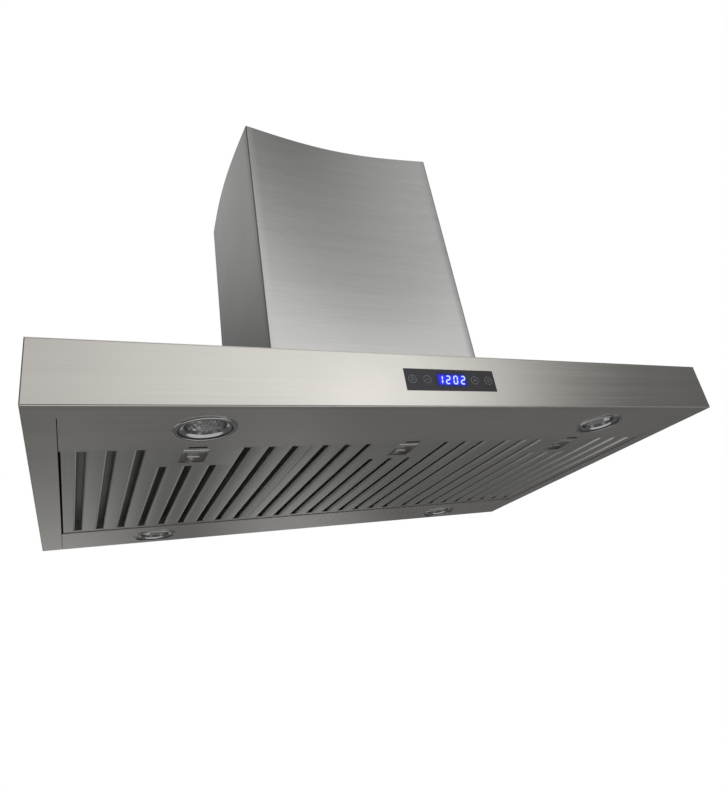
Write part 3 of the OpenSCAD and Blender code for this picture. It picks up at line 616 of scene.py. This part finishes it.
class HOOD_OT_chimney(Operator):
    """Model the two chimney covers as bent sheets whose free top edges spring out of line"""
    bl_idname = "hood.chimney"
    bl_label = "Chimney Covers"
    rows, side_steps, bend_steps, face_steps = 36, 10, 6, 14
    # How the spring-back gathers toward the free top edge, and toward a cover's face or side
    rise_power, face_power = 1.25, 3

    def execute(self, context):
        low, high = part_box("chimney_front")
        rear_low, rear_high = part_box("chimney_rear")
        self.half_x, self.y0, self.y1 = high.x, low.y, rear_high.y
        self.z0, self.z1 = low.z, high.z
        self.cover("chimney_cover_front", "chimney_front", low.y, high.y)
        self.cover("chimney_cover_rear", "chimney_rear", rear_high.y, rear_low.y)
        return {"FINISHED"}

    def bowed(self, x, y, z):
        """Moves a point of the flat covers by the spring-back of the sheet at its height."""
        size = sizes()
        rise = max(0.0, (z - self.z0) / (self.z1 - self.z0)) ** self.rise_power
        across = max(0.0, math.cos(math.pi / 2 * x / self.half_x))
        middle, half = (self.y0 + self.y1) / 2, (self.y1 - self.y0) / 2
        deep = (y - middle) / half
        along = max(0.0, math.cos(math.pi / 2 * deep))
        push_in = size.bow_front * rise * across * abs(deep) ** self.face_power
        push_out = size.bow_side * rise * along * (abs(x) / self.half_x) ** self.face_power
        return Vector((x + math.copysign(push_out, x), y - math.copysign(push_in, deep), z))

    def path(self, face_y, seam_y, inset):
        """The U-shaped run of the sheet: up one side, across the face and back down the other."""
        radius = sizes().bend_radius - inset
        toward = 1 if seam_y > face_y else -1
        x, y = self.half_x - inset, face_y + toward * inset
        side = [(-x, seam_y + (y + toward * radius - seam_y) * i / self.side_steps)
                for i in range(self.side_steps + 1)]
        turns = [math.pi / 2 * (i + 1) / self.bend_steps for i in range(self.bend_steps)]
        bend = [(-x + radius * (1 - math.cos(a)), y + toward * radius * (1 - math.sin(a))) for a in turns]
        front = [(-x + radius + (x - radius) * (i + 1) / self.face_steps, y) for i in range(self.face_steps)]
        half = side + bend + front
        return half + [(-a, b) for a, b in reversed(half[:-1])]

    def cover(self, name, node, face_y, seam_y):
        rows = self.rows
        bm = bmesh.new()
        layers = []
        for inset in (0.0, SHEET):
            run = self.path(face_y, seam_y, inset)
            layers.append([[bm.verts.new(self.bowed(x, y, self.z0 + (self.z1 - self.z0) * r / rows))
                            for x, y in run] for r in range(rows + 1)])
        outer, inner = layers
        columns = len(outer[0])
        for grid in layers:
            for r in range(rows):
                for c in range(columns - 1):
                    bm.faces.new((grid[r][c], grid[r][c + 1], grid[r + 1][c + 1], grid[r + 1][c]))
        for r in (0, rows):
            for c in range(columns - 1):
                bm.faces.new((outer[r][c], outer[r][c + 1], inner[r][c + 1], inner[r][c]))
        for c in (0, columns - 1):
            for r in range(rows):
                bm.faces.new((outer[r][c], outer[r + 1][c], inner[r + 1][c], inner[r][c]))
        mesh = to_mesh(bm, name)
        piece = add_piece(name, mesh, "chimney_steel", materials=both_grains("chimney_steel"))
        grain_by_side(mesh)
        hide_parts(node)


class HOOD_OT_canopy(Operator):
    """Model the canopy's bent panels as one welded shell under a separate deck"""
    bl_idname = "hood.canopy"
    bl_label = "Canopy"
    walls = ("canopy_front", "canopy_rear", "canopy_side_left", "canopy_side_right", "rail_upstand")
    worn_edge, deck_edge = 0.12 * MM, 0.3 * MM
    shortest_edge = 4 * MM

    def execute(self, context):
        shell = joined_solids(self.walls)
        round_edges(shell, sizes().edge_radius, 4, lambda middle, edge: sum(self.outer(middle)) >= 2)
        round_edges(shell, self.worn_edge, 1, lambda middle, edge: not any(self.outer(middle)[:2])
                    and edge.calc_length() > self.shortest_edge)
        self.piece("canopy_shell", shell, self.walls)
        deck = joined_solids(("canopy_top",))
        round_edges(deck, self.deck_edge, 2, lambda middle, edge: any(self.outer(middle)[:2]))
        self.piece("canopy_deck", deck, ("canopy_top",))
        return {"FINISHED"}

    def outer(self, point):
        """Whether a point lies on the canopy's sides, on its front or rear, and on its underside."""
        gaps = (abs(point.x) - CANOPY_HIGH.x, abs(point.y) - CANOPY_HIGH.y, point.z - UNDERSIDE_Z)
        return [abs(gap) < PLACE_TOLERANCE for gap in gaps]

    def piece(self, name, bm, nodes):
        mesh = to_mesh(bm, name, FLAT_AREA)
        piece = add_piece(name, mesh, "canopy_steel", materials=both_grains("canopy_steel"))
        grain_by_side(mesh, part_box("canopy_side_right")[0].x)
        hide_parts(*nodes)


class HOOD_OT_filters(Operator):
    """Model each filter's slotted face with rolled lips, its rim and its latch handle"""
    bl_idname = "hood.filters"
    bl_label = "Filters"
    sheet = 1.0 * MM
    slot_count = 9
    slot_width = 8 * MM
    pitch = 29.9 * MM
    # The slots that start behind the latch cup
    short = (3, 4, 5)
    lip_height = 7.0 * MM
    # Plain strips of the face: in front of the slots, behind them and behind the latch cup
    front_land, rear_land, cup_land = 0.6 * MM, 8 * MM, 13 * MM
    # The tongue's opening in the front rim: its heights above the underside and its inset
    opening_low, opening_high, opening_inset = 5.5 * MM, 8.1 * MM, 5 * MM
    # The rear lip's height above the underside, and the stiffener behind the cup
    lip_rise, stiffener_forward, stiffener_past = 2.7 * MM, 5 * MM, 13 * MM
    # The latch's finger bar: place behind the cup's front, depth, and its two roundings
    bar_inset, bar_depth, bar_round, edge_round = 2 * MM, 9 * MM, 2.2 * MM, 0.8 * MM
    # The latch's tongue, its stem and the pad at the stem's end
    tongue_rise, tongue_half, tongue_sheet = 6 * MM, 9 * MM, 1.6 * MM
    stem_half, pad_depth, pad_lift = 7 * MM, 3 * MM, 0.9 * MM

    def execute(self, context):
        for side in SIDES:
            self.filter_face(side)
            self.handle(side)
        return {"FINISHED"}

    def slot_x(self, i):
        return self.middle + (i - (self.slot_count - 1) / 2) * self.pitch

    def bar(self, bm, x0, x1, y0, y1, left, right):
        """A strip of the face, with a rolled lip turned up along each side that borders a slot."""
        r, t, z, top = sizes().lip_radius, self.sheet, self.face_z, self.face_z + self.lip_height
        outline, inside = [], []
        if left:
            outline += [(x0, top)] + arc((x0 + r, z + r), r, 180, 270, 6)
            inside = [(x0 + t, top)] + arc((x0 + r, z + r), r - t, 180, 270, 6)
        else:
            outline += [(x0, z)]
            inside = [(x0, z + t)]
        if right:
            outline += arc((x1 - r, z + r), r, 270, 360, 6) + [(x1, top)]
            inside += arc((x1 - r, z + r), r - t, 270, 360, 6) + [(x1 - t, top)]
        else:
            outline += [(x1, z)]
            inside += [(x1, z + t)]
        prism(bm, outline + list(reversed(inside)), y0, y1)

    def filter_face(self, side):
        """The slotted face with its rim, the tongue's opening, the rear lip and a stiffener."""
        low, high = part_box(f"filter_frame_{side}")
        cup_low, cup_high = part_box(f"latch_cup_{side}")
        tongue_low, tongue_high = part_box(f"latch_slide_{side}")
        rim = self.sheet
        self.middle, self.face_z = (low.x + high.x) / 2, low.z
        z0, z1, top = low.z, low.z + self.sheet, high.z
        rim_y, back_y = low.y + rim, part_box(f"filter_baffles_{side}")[1].y + rim
        slot_y0, slot_y1 = rim_y + self.front_land, back_y - self.rear_land
        short_y = cup_high.y - rim + self.cup_land
        half = self.slot_width / 2
        edges = [(self.slot_x(i) - half, self.slot_x(i) + half) for i in range(self.slot_count)]
        starts = [(low.x, False)] + [(right, True) for _, right in edges]
        ends = [(left, True) for left, _ in edges] + [(high.x, False)]
        first, last = self.short[0], self.short[-1] + 1
        bm = bmesh.new()
        for k, ((x0, left), (x1, right)) in enumerate(zip(starts, ends)):
            self.bar(bm, x0, x1, short_y if first <= k <= last else slot_y0, slot_y1, left, right)
        cup_x, cup_y = (cup_low.x + rim, cup_high.x - rim), (cup_low.y + rim, cup_high.y - rim)
        self.bar(bm, starts[first][0], cup_x[0], slot_y0, short_y, True, False)
        self.bar(bm, cup_x[1], ends[last][0], slot_y0, short_y, False, True)
        gap_x = (tongue_low.x + self.opening_inset, tongue_high.x - self.opening_inset)
        gap_z = (UNDERSIDE_Z + self.opening_low, UNDERSIDE_Z + self.opening_high)
        lip_z = UNDERSIDE_Z + self.lip_rise
        bar_x, bar_y = self.pitch + self.stiffener_past, short_y - self.stiffener_forward
        for corner, opposite in (
                ((cup_x[0], slot_y0, z0), (cup_x[1], cup_y[0], z1)),
                ((cup_x[0], cup_y[1], z0), (cup_x[1], short_y, z1)),
                ((low.x, low.y, z0), (high.x, slot_y0, z1)),
                ((low.x, slot_y1, z0), (high.x, back_y, z1)),
                ((low.x, low.y, z1), (gap_x[0], rim_y, top)),
                ((gap_x[1], low.y, z1), (high.x, rim_y, top)),
                ((gap_x[0], low.y, z1), (gap_x[1], rim_y, gap_z[0])),
                ((gap_x[0], low.y, gap_z[1]), (gap_x[1], rim_y, top)),
                ((low.x, back_y - rim, z1), (high.x, back_y, top)),
                ((low.x, rim_y, z1), (low.x + rim, back_y - rim, top)),
                ((high.x - rim, rim_y, z1), (high.x, back_y - rim, top)),
                ((low.x, back_y, lip_z), (high.x, high.y, lip_z + SHEET)),
                ((self.middle - bar_x, bar_y, z1), (self.middle + bar_x, bar_y + self.sheet, top))):
            slab(bm, corner, opposite)
        mesh = to_mesh(bm, f"filter_face_{side}")
        piece = add_piece(f"filter_face_{side}", mesh, "filter_steel", f"filter_{side}")
        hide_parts(f"filter_frame_{side}")

    def handle(self, side):
        """The latch's slide: a pressed finger bar with a rounded front, a stem and a rear pad."""
        low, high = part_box(f"latch_slide_{side}")
        middle = (low.x + high.x) / 2
        front_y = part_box(f"latch_cup_{side}")[0].y + self.bar_inset
        back_y = front_y + self.bar_depth
        pad_y, pad_z = high.y - self.pad_depth, low.z + self.pad_lift
        z, r, e = UNDERSIDE_Z + self.tongue_rise, self.bar_round, self.edge_round
        bm = bmesh.new()
        bar = (arc((front_y + r, low.z + r), r, 180, 270, 6) + arc((back_y - e, low.z + e), e, 270, 360, 4)
               + [(back_y, z), (front_y, z)])
        prism(bm, bar, low.x, high.x, "yz")
        slab(bm, (middle - self.tongue_half, low.y, z),
             (middle + self.tongue_half, back_y, z + self.tongue_sheet))
        slab(bm, (middle - self.stem_half, back_y, z), (middle + self.stem_half, high.y, high.z))
        pad = arc((pad_y + e, pad_z + e), e, 180, 270, 4) + [(high.y, pad_z), (high.y, z), (pad_y, z)]
        prism(bm, pad, middle - self.stem_half, middle + self.stem_half, "yz")
        mesh = to_mesh(bm, f"latch_handle_{side}")
        piece = add_piece(f"latch_handle_{side}", mesh, "latch_steel", f"latch_{side}")
        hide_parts(f"latch_slide_{side}")


class HOOD_OT_springs(Operator):
    """Model each latch's coil spring"""
    bl_idname = "hood.springs"
    bl_label = "Latch Springs"
    turns, turn_steps, wire_sides = 5, 24, 8
    wire = 0.4 * MM

    def execute(self, context):
        travel = {joint["name"]: joint["range_m"][1] for joint in frame["record"]["behaviour"]["joints"]
                  if joint["type"] == "slide"}
        for side in SIDES:
            low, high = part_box(f"latch_spring_{side}")
            middle = (low + high) / 2
            radius = (high.x - low.x) / 2 - self.wire
            length = high.y - low.y
            steps = self.turns * self.turn_steps
            points = []
            for i in range(steps + 1):
                turn = 2 * math.pi * i / self.turn_steps
                points.append(Vector((middle.x + radius * math.cos(turn),
                                      low.y + self.wire + (length - 2 * self.wire) * i / steps,
                                      middle.z + radius * math.sin(turn))))
            bm = bmesh.new()
            tube(bm, points, self.wire, self.wire_sides)
            mesh = to_mesh(bm, f"latch_coil_{side}")
            piece = add_piece(f"latch_coil_{side}", mesh, "spring_steel", f"filter_{side}")
            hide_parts(f"latch_spring_{side}")
            slide = f"latch_{side}_slide"
            1 - travel[slide] / length
            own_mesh(piece)
        return {"FINISHED"}


class HOOD_OT_lamps(Operator):
    """Model each lamp: a turned trim ring, a faceted reflector and a capsule with its filament"""
    bl_idname = "hood.lamps"
    bl_label = "Lamps"
    # Radii of the ring's mouth and spigot, and heights of the reflector's seat and the spigot's end
    mouth, spigot, seat, spigot_top = 21.5 * MM, 28.5 * MM, 6 * MM, 16 * MM
    # The groove's place inside the rim, and its width to each side where it is painted dark as shade
    groove_inset, dark_in, dark_out = 6 * MM, 0.6 * MM, 0.9 * MM
    # The reflector's neck and dish, and its facets' depth, inset and crowding toward the mouth
    neck, dish_reach, dish_depth = 6 * MM, 19 * MM, 30 * MM
    facet_depth, facet_inset, facet_power = 24.5 * MM, 1.4 * MM, 1.15
    # The filament: height, half length, coil radius, turn for each step, steps, and its legs
    filament_rise, filament_half, coil_radius, coil_turn, coil_steps = 19 * MM, 2 * MM, 0.5 * MM, 0.9, 96
    coil_wire, leg_wire, leg_length, leg_lean = 0.12 * MM, 0.18 * MM, 8 * MM, 0.8

    def execute(self, context):
        for lamp in LAMPS:
            low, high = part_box(f"lamp_ring_{lamp}")
            centre = Vector(((low.x + high.x) / 2, (low.y + high.y) / 2, UNDERSIDE_Z))
            self.ring(lamp, centre, low)
            self.reflector(lamp, centre)
            self.filament(lamp, centre)
        return {"FINISHED"}

    def ring(self, lamp, centre, low):
        """Bezel with a rolled rim, a groove, an inner cone and a spigot through the rail."""
        outer, drop = centre.x - low.x, centre.z - low.z
        mouth, spigot, groove = self.mouth, self.spigot, outer - self.groove_inset
        cone, valley = ((0, 5), (0.2, 1.8), (0.9, 1.0)), ((-1.8, -0.1), (-0.9, -0.25), (0, 0.15), (0.5, 0.05))
        profile = [(mouth + r * MM, z * MM) for r, z in cone]
        profile += [(groove + r * MM, z * MM) for r, z in valley]
        profile += [(groove + 1.1 * MM, -drop * 0.72)]
        profile += arc((groove + 2.2 * MM, -drop + 0.6 * MM), 0.6 * MM, 200, 270, 3)
        profile += [(outer - 2.0 * MM, -drop)]
        profile += arc((outer - 1.3 * MM, -drop + 1.3 * MM), 1.3 * MM, 270, 360, 5)
        profile += [(outer, -0.01 * MM), (spigot, -0.01 * MM), (spigot, self.spigot_top),
                    (spigot - 1 * MM, self.spigot_top), (spigot - 1 * MM, self.seat), (mouth, self.seat)]
        bm = bmesh.new()
        lathe(bm, profile, centre)
        mesh = to_mesh(bm, f"lamp_trim_{lamp}")
        piece = add_piece(f"lamp_trim_{lamp}", mesh, "lamp_trim",
                          materials=[finish("lamp_trim"), finish("lamp_well")])
        # Faces in the groove take the near-black lamp_well finish as painted shade
        for polygon in mesh.polygons:
            reach = (polygon.center.xy - centre.xy).length
            in_painted_groove_shade = groove - self.dark_in < reach < groove + self.dark_out
            polygon.material_index = 1 if in_painted_groove_shade and polygon.center.z < centre.z + 5 * MM else 0
        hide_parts(f"lamp_ring_{lamp}")

    def dish(self, z):
        """The dish's radius at a height above its mouth."""
        return self.neck + self.dish_reach * math.sqrt(max(0.0, 1 - z / self.dish_depth))

    def reflector(self, lamp, centre):
        """Dished mirror of flat facets, each row turned by half a facet, with a plain neck behind."""
        deep, around = sizes().facets_deep, sizes().facets_round
        bottom = centre.z + self.seat
        bm = bmesh.new()
        inside = []
        for row in range(deep + 1):
            z = self.facet_depth * (row / deep) ** self.facet_power
            reach = self.dish(z) - self.facet_inset
            turns = [2 * math.pi * (k + 0.5 * (row % 2)) / around for k in range(around)]
            inside.append([bm.verts.new((centre.x + reach * math.cos(turn), centre.y + reach * math.sin(turn),
                                         bottom + z + 0.2 * MM)) for turn in turns])
        for row in range(deep):
            shift = 0 if row % 2 else -1
            for k in range(around):
                a, b = inside[row][k], inside[row][(k + 1) % around]
                c, d = inside[row + 1][(k + shift + 1) % around], inside[row + 1][(k + shift) % around]
                bm.faces.new((a, b, c))
                bm.faces.new((a, c, d))
        outline = [(self.dish(0), 0.0), (self.dish(0), 0.9 * MM)]
        outline += [(self.dish(z * MM) + 0.1 * MM, (z + 1.2) * MM) for z in range(4, 25, 4)]
        outline += [(8 * MM, 30 * MM), (8 * MM, 31 * MM), (6.2 * MM, 31 * MM)]
        outline += [(self.dish(z * MM) - 1.1 * MM, (z + 0.6) * MM) for z in range(24, -1, -4)]
        lathe(bm, outline, Vector((centre.x, centre.y, bottom)), 48)
        piece = add_piece(f"lamp_mirror_{lamp}", plain_mesh(bm, f"lamp_mirror_{lamp}"), "lamp_mirror")
        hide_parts(f"lamp_reflector_{lamp}")

    def filament(self, lamp, centre):
        """A fine tungsten coil on two legs inside the capsule."""
        bm = bmesh.new()
        middle = centre + Vector((0, 0, self.filament_rise))
        half, radius = self.filament_half, self.coil_radius
        coil = [middle + Vector((half * (2 * i / self.coil_steps - 1), radius * math.cos(i * self.coil_turn),
                                 radius * math.sin(i * self.coil_turn))) for i in range(self.coil_steps + 1)]
        tube(bm, coil, self.coil_wire, 5)
        for x in (-half, half):
            leg = [middle + Vector((x, 0, 0)), middle + Vector((x * self.leg_lean, 0, self.leg_length))]
            tube(bm, leg, self.leg_wire, 6)
        add_piece(f"lamp_filament_{lamp}", to_mesh(bm, f"lamp_filament_{lamp}"), "spring_steel")


class HOOD_OT_panel(Operator):
    """Model the control panel: bevelled black glass, key rings with marks and the lit digits"""
    bl_idname = "hood.panel"
    bl_label = "Control Panel"
    segments = {"0": "abcdef", "1": "bc", "2": "abged"}
    ends = {"a": ((-1, 1), (1, 1)), "b": ((1, 1), (1, 0)), "c": ((1, 0), (1, -1)), "d": ((-1, -1), (1, -1)),
            "e": ((-1, 0), (-1, -1)), "f": ((-1, 1), (-1, 0)), "g": ((-1, 0), (1, 0))}
    reading = "1202"
    set_back, bevel = 0.08 * MM, 0.35 * MM
    # Places of the keys from the panel's middle, and the widths of their lines
    key_x = {"fan": -53.7 * MM, "less": -33.6 * MM, "more": 33.6 * MM, "lamp": 53.7 * MM}
    key_z = 0.4 * MM
    ring_line, fine_line, bold_line = 0.42 * MM, 0.4 * MM, 0.55 * MM
    # The digits: place of their middle, pitch, width for each unit of height, stroke, lean and gaps
    digits_x, digits_z, digit_pitch, digit_ratio = 0.6 * MM, 0.3 * MM, 10.6 * MM, 0.56
    digit_stroke, digit_lean, digit_gap = 1.75 * MM, math.radians(8), 0.12 * MM
    # The glow's half size and how far it fades
    glow_half, glow_reach = (17.5 * MM, 5 * MM), 6.5 * MM

    def execute(self, context):
        low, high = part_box("control_glass")
        self.face_y = low.y + self.set_back
        self.middle = Vector(((low.x + high.x) / 2, low.y, (low.z + high.z) / 2))
        self.glass(low)
        self.keys()
        self.display()
        return {"FINISHED"}

    def glass(self, low):
        """The glass plate, set back a little so that what is lit on it stays inside the panel's size."""
        near = PLACE_TOLERANCE / 10
        bm = joined_solids(("control_glass",))
        for vert in bm.verts:
            if abs(vert.co.y - low.y) < near:
                vert.co.y = self.face_y
        round_edges(bm, self.bevel, 3, lambda middle, edge: abs(middle.y - self.face_y) < near)
        piece = add_piece("panel_glass", to_mesh(bm, "panel_glass", FLAT_AREA), "panel_glass")
        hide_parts("control_glass")

    def plate(self, bm, outline, proud=0.03 * MM):
        """A thin printed or lit shape on the glass, from (across, up) points about the middle."""
        points = [(self.middle.x + a, self.middle.z + b) for a, b in outline]
        prism(bm, points, self.face_y - proud, self.face_y + 0.02 * MM)

    def ring(self, bm, x, z, radius, width, start=0.0, end=360.0, steps=48):
        outer = arc((x, z), radius, start, end, steps)
        inner = arc((x, z), radius - width, start, end, steps)
        for i in range(steps):
            self.plate(bm, [outer[i], outer[i + 1], inner[i + 1], inner[i]])

    def stroke(self, bm, a, b, width):
        a, b = Vector(a), Vector(b)
        along = (b - a).normalized() * 0.5
        side = Vector((-along.y, along.x)) * width
        self.plate(bm, [tuple(a - side), tuple(b - side), tuple(b + side), tuple(a + side)])

    def keys(self):
        """Four thin rings with a fan, a minus, a plus and a lamp in them."""
        bm = bmesh.new()
        z, arm, gap = self.key_z, 1.7 * MM, 0.3 * MM
        for x in self.key_x.values():
            self.ring(bm, x, z, sizes().icon_diameter / 2, self.ring_line)
        for start in (90, 210, 330):
            petal = arc((self.key_x["fan"], z), 1.5 * MM, start, start, 1)[0]
            self.ring(bm, *petal, 1.35 * MM, self.fine_line, start - 70, start + 150)
        for x in (self.key_x["less"], self.key_x["more"]):
            self.stroke(bm, (x - arm, z), (x + arm, z), self.bold_line)
        x = self.key_x["more"]
        for side in (-1, 1):
            self.stroke(bm, (x, z + side * gap), (x, z + side * arm), self.bold_line)
        x = self.key_x["lamp"]
        self.ring(bm, x, z + 0.5 * MM, 1.5 * MM, self.fine_line, -50, 230)
        for drop in (1.1 * MM, 1.9 * MM):
            self.stroke(bm, (x - 0.8 * MM, z - drop), (x + 0.8 * MM, z - drop), self.fine_line)
        add_piece("key_marks", to_mesh(bm, "key_marks"), "panel_glass", materials=[finish("key_legend")])

    def display(self):
        """Slanted seven-segment digits in front of a blue bleed of light."""
        height, bar, slant = sizes().digit_height, self.digit_stroke, math.tan(self.digit_lean)
        half_w, half_h = (height * self.digit_ratio - bar) / 2, (height - bar) / 2
        bm = bmesh.new()
        for k, digit in enumerate(self.reading):
            x = self.digits_x + (k - (len(self.reading) - 1) / 2) * self.digit_pitch
            for segment in self.segments[digit]:
                start, end = [Vector((a * half_w, b * half_h)) for a, b in self.ends[segment]]
                along = (end - start).normalized()
                side = Vector((-along.y, along.x)) * bar / 2
                tip, gap = along * bar / 2, along * self.digit_gap
                shape = [start + gap, start + gap + tip + side, end - gap - tip + side, end - gap,
                         end - gap - tip - side, start + gap + tip - side]
                self.plate(bm, [(x + p.x + p.y * slant, self.digits_z + p.y) for p in shape], 0.06 * MM)
        add_piece("display_digits", to_mesh(bm, "display_digits"), "display",
                  materials=[finish("digit_light")])
        middle = self.middle + Vector((self.digits_x, 0, self.digits_z))
        x, z = (half + self.glow_reach for half in self.glow_half)
        bm = bmesh.new()
        self.plate(bm, [(self.digits_x + a * x, self.digits_z + b * z)
                        for a, b in ((-1, -1), (1, -1), (1, 1), (-1, 1))], 0.015 * MM)
        add_piece("display_glow", to_mesh(bm, "display_glow"), "display",
                  materials=[glow("display_glow", colours().glow, middle, self.glow_half, self.glow_reach)])


class HOOD_OT_stage(Operator):
    """Set up the floor, the world, the soft lamps and the camera"""
    bl_idname = "hood.stage"
    bl_label = "Stage"

    def execute(self, context):
        self.set = context.scene.hood_stage
        self.floor()
        self.world(context.scene)
        self.lamps()
        self.camera(context.scene)
        context.scene.view_settings.view_transform = "Standard"
        return {"FINISHED"}

    def floor(self):
        bm = bmesh.new()
        bmesh.ops.create_circle(bm, cap_ends=True, radius=self.set.floor_radius, segments=96)
        mesh = plain_mesh(bm, "floor")
        mesh.materials.append(finish("pale_floor"))
        floor = bpy.data.objects.new("floor", mesh)
        floor.location.z = UNDERSIDE_Z - self.set.floor_drop
        bpy.context.scene.collection.objects.link(floor)

    def world(self, scene):
        """White to the camera and through glass; metal sees it through soft openings in dark cards."""
        world = bpy.data.worlds.new("studio")
        scene.world = world
        world.use_nodes = True
        shade = Shade(world.node_tree)
        path = shade.node("ShaderNodeLightPath")
        camera, glossy, through = [Value(shade, path.outputs[f"Is {kind} Ray"])
                                   for kind in ("Camera", "Glossy", "Transmission")]
        white = camera.top(glossy).top(through)
        strength = white * (1 - glossy * self.cards(shade)) + (1 - white) * self.set.ambient
        background = shade.node("ShaderNodeBackground", values={"Color": (1, 1, 1, 1), "Strength": strength})
        shade.node("ShaderNodeOutputWorld", values={"Surface": background.outputs[0]})

    def cards(self, shade):
        """How much of the white each direction loses to the dark cards round the hood."""
        x, y, z = shade.split(shade.coordinates("Generated"))
        white = CARD_WHITE
        for azimuth, elevation, width, strength in SOFT_BOXES:
            a, e = math.radians(azimuth), math.radians(elevation)
            near = x * (math.sin(a) * math.cos(e)) + y * (math.cos(a) * math.cos(e)) + z * math.sin(e)
            inside = ((near - 1) / (1 - math.cos(math.radians(width))) + 1).clamped()
            white = inside ** SOFT_BOX_FALLOFF * strength + white
        return 1 - white

    def lamps(self):
        for name, place, power, size in STUDIO_LAMPS:
            light = bpy.data.lights.new(name, "AREA")
            light.energy, light.size, light.shape = power, size, "SQUARE"
            lamp = bpy.data.objects.new(name, light)
            lamp.location = Vector(place) + Vector((0, 0, UNDERSIDE_Z))
            aim = Vector((0, 0, UNDERSIDE_Z + 0.1)) - lamp.location
            lamp.rotation_euler = aim.to_track_quat("-Z", "Y").to_euler()
            lamp.visible_glossy = False
            bpy.context.scene.collection.objects.link(lamp)

    def camera(self, scene):
        settings = self.set
        yaw, pitch, roll = settings.camera_yaw, settings.camera_pitch, settings.camera_roll
        ahead = Vector((math.sin(yaw) * math.cos(pitch), math.cos(yaw) * math.cos(pitch), math.sin(pitch)))
        right = Vector((math.cos(yaw), -math.sin(yaw), 0))
        up = right.cross(ahead)
        across = math.cos(roll) * right + math.sin(roll) * up
        rise = -math.sin(roll) * right + math.cos(roll) * up
        data = bpy.data.cameras.new("camera")
        data.lens, data.sensor_width = settings.lens, 36.0
        data.shift_x, data.shift_y = settings.shift
        data.clip_start, data.clip_end = 0.05, 50.0
        camera = bpy.data.objects.new("camera", data)
        turn = Matrix((across, rise, -ahead)).transposed().to_4x4()
        place = Vector(settings.camera_place) + Vector((0, 0, UNDERSIDE_Z))
        camera.matrix_world = Matrix.Translation(place) @ turn
        scene.collection.objects.link(camera)
        scene.camera = camera


class HOOD_PT_panel(Panel):
    """Buttons that build the range hood's looks"""
    bl_label = "Range Hood"
    bl_idname = "HOOD_PT_panel"
    bl_space_type = "VIEW_3D"
    bl_region_type = "UI"
    bl_category = "Range Hood"

    def draw(self, context):
        for group in (context.scene.hood_sizes, context.scene.hood_colours, context.scene.hood_stage):
            for key in group.bl_rna.properties.keys():
                if key not in ("name", "rna_type"):
                    self.layout.prop(group, key)
        for operator in OPERATORS:
            self.layout.operator(operator.bl_idname)


OPERATORS = (HOOD_OT_stage, HOOD_OT_node_finishes, HOOD_OT_chimney, HOOD_OT_canopy, HOOD_OT_filters,
             HOOD_OT_springs, HOOD_OT_lamps, HOOD_OT_panel)
CLASSES = (HoodSizes, HoodColours, HoodStage, *OPERATORS, HOOD_PT_panel)


def register():
    for cls in CLASSES:
        bpy.utils.register_class(cls)
    bpy.types.Scene.hood_sizes = PointerProperty(type=HoodSizes)
    bpy.types.Scene.hood_colours = PointerProperty(type=HoodColours)
    bpy.types.Scene.hood_stage = PointerProperty(type=HoodStage)


def unregister():
    for name in ("hood_sizes", "hood_colours", "hood_stage"):
        delattr(bpy.types.Scene, name)
    for cls in reversed(CLASSES):
        bpy.utils.unregister_class(cls)


def main():
    register()
    bpy.ops.hood.stage()
    bpy.ops.hood.node_finishes()
    bpy.ops.hood.chimney()
    bpy.ops.hood.canopy()
    bpy.ops.hood.filters()
    bpy.ops.hood.springs()
    bpy.ops.hood.lamps()
    bpy.ops.hood.panel()


if __name__ == "__main__":
    main()
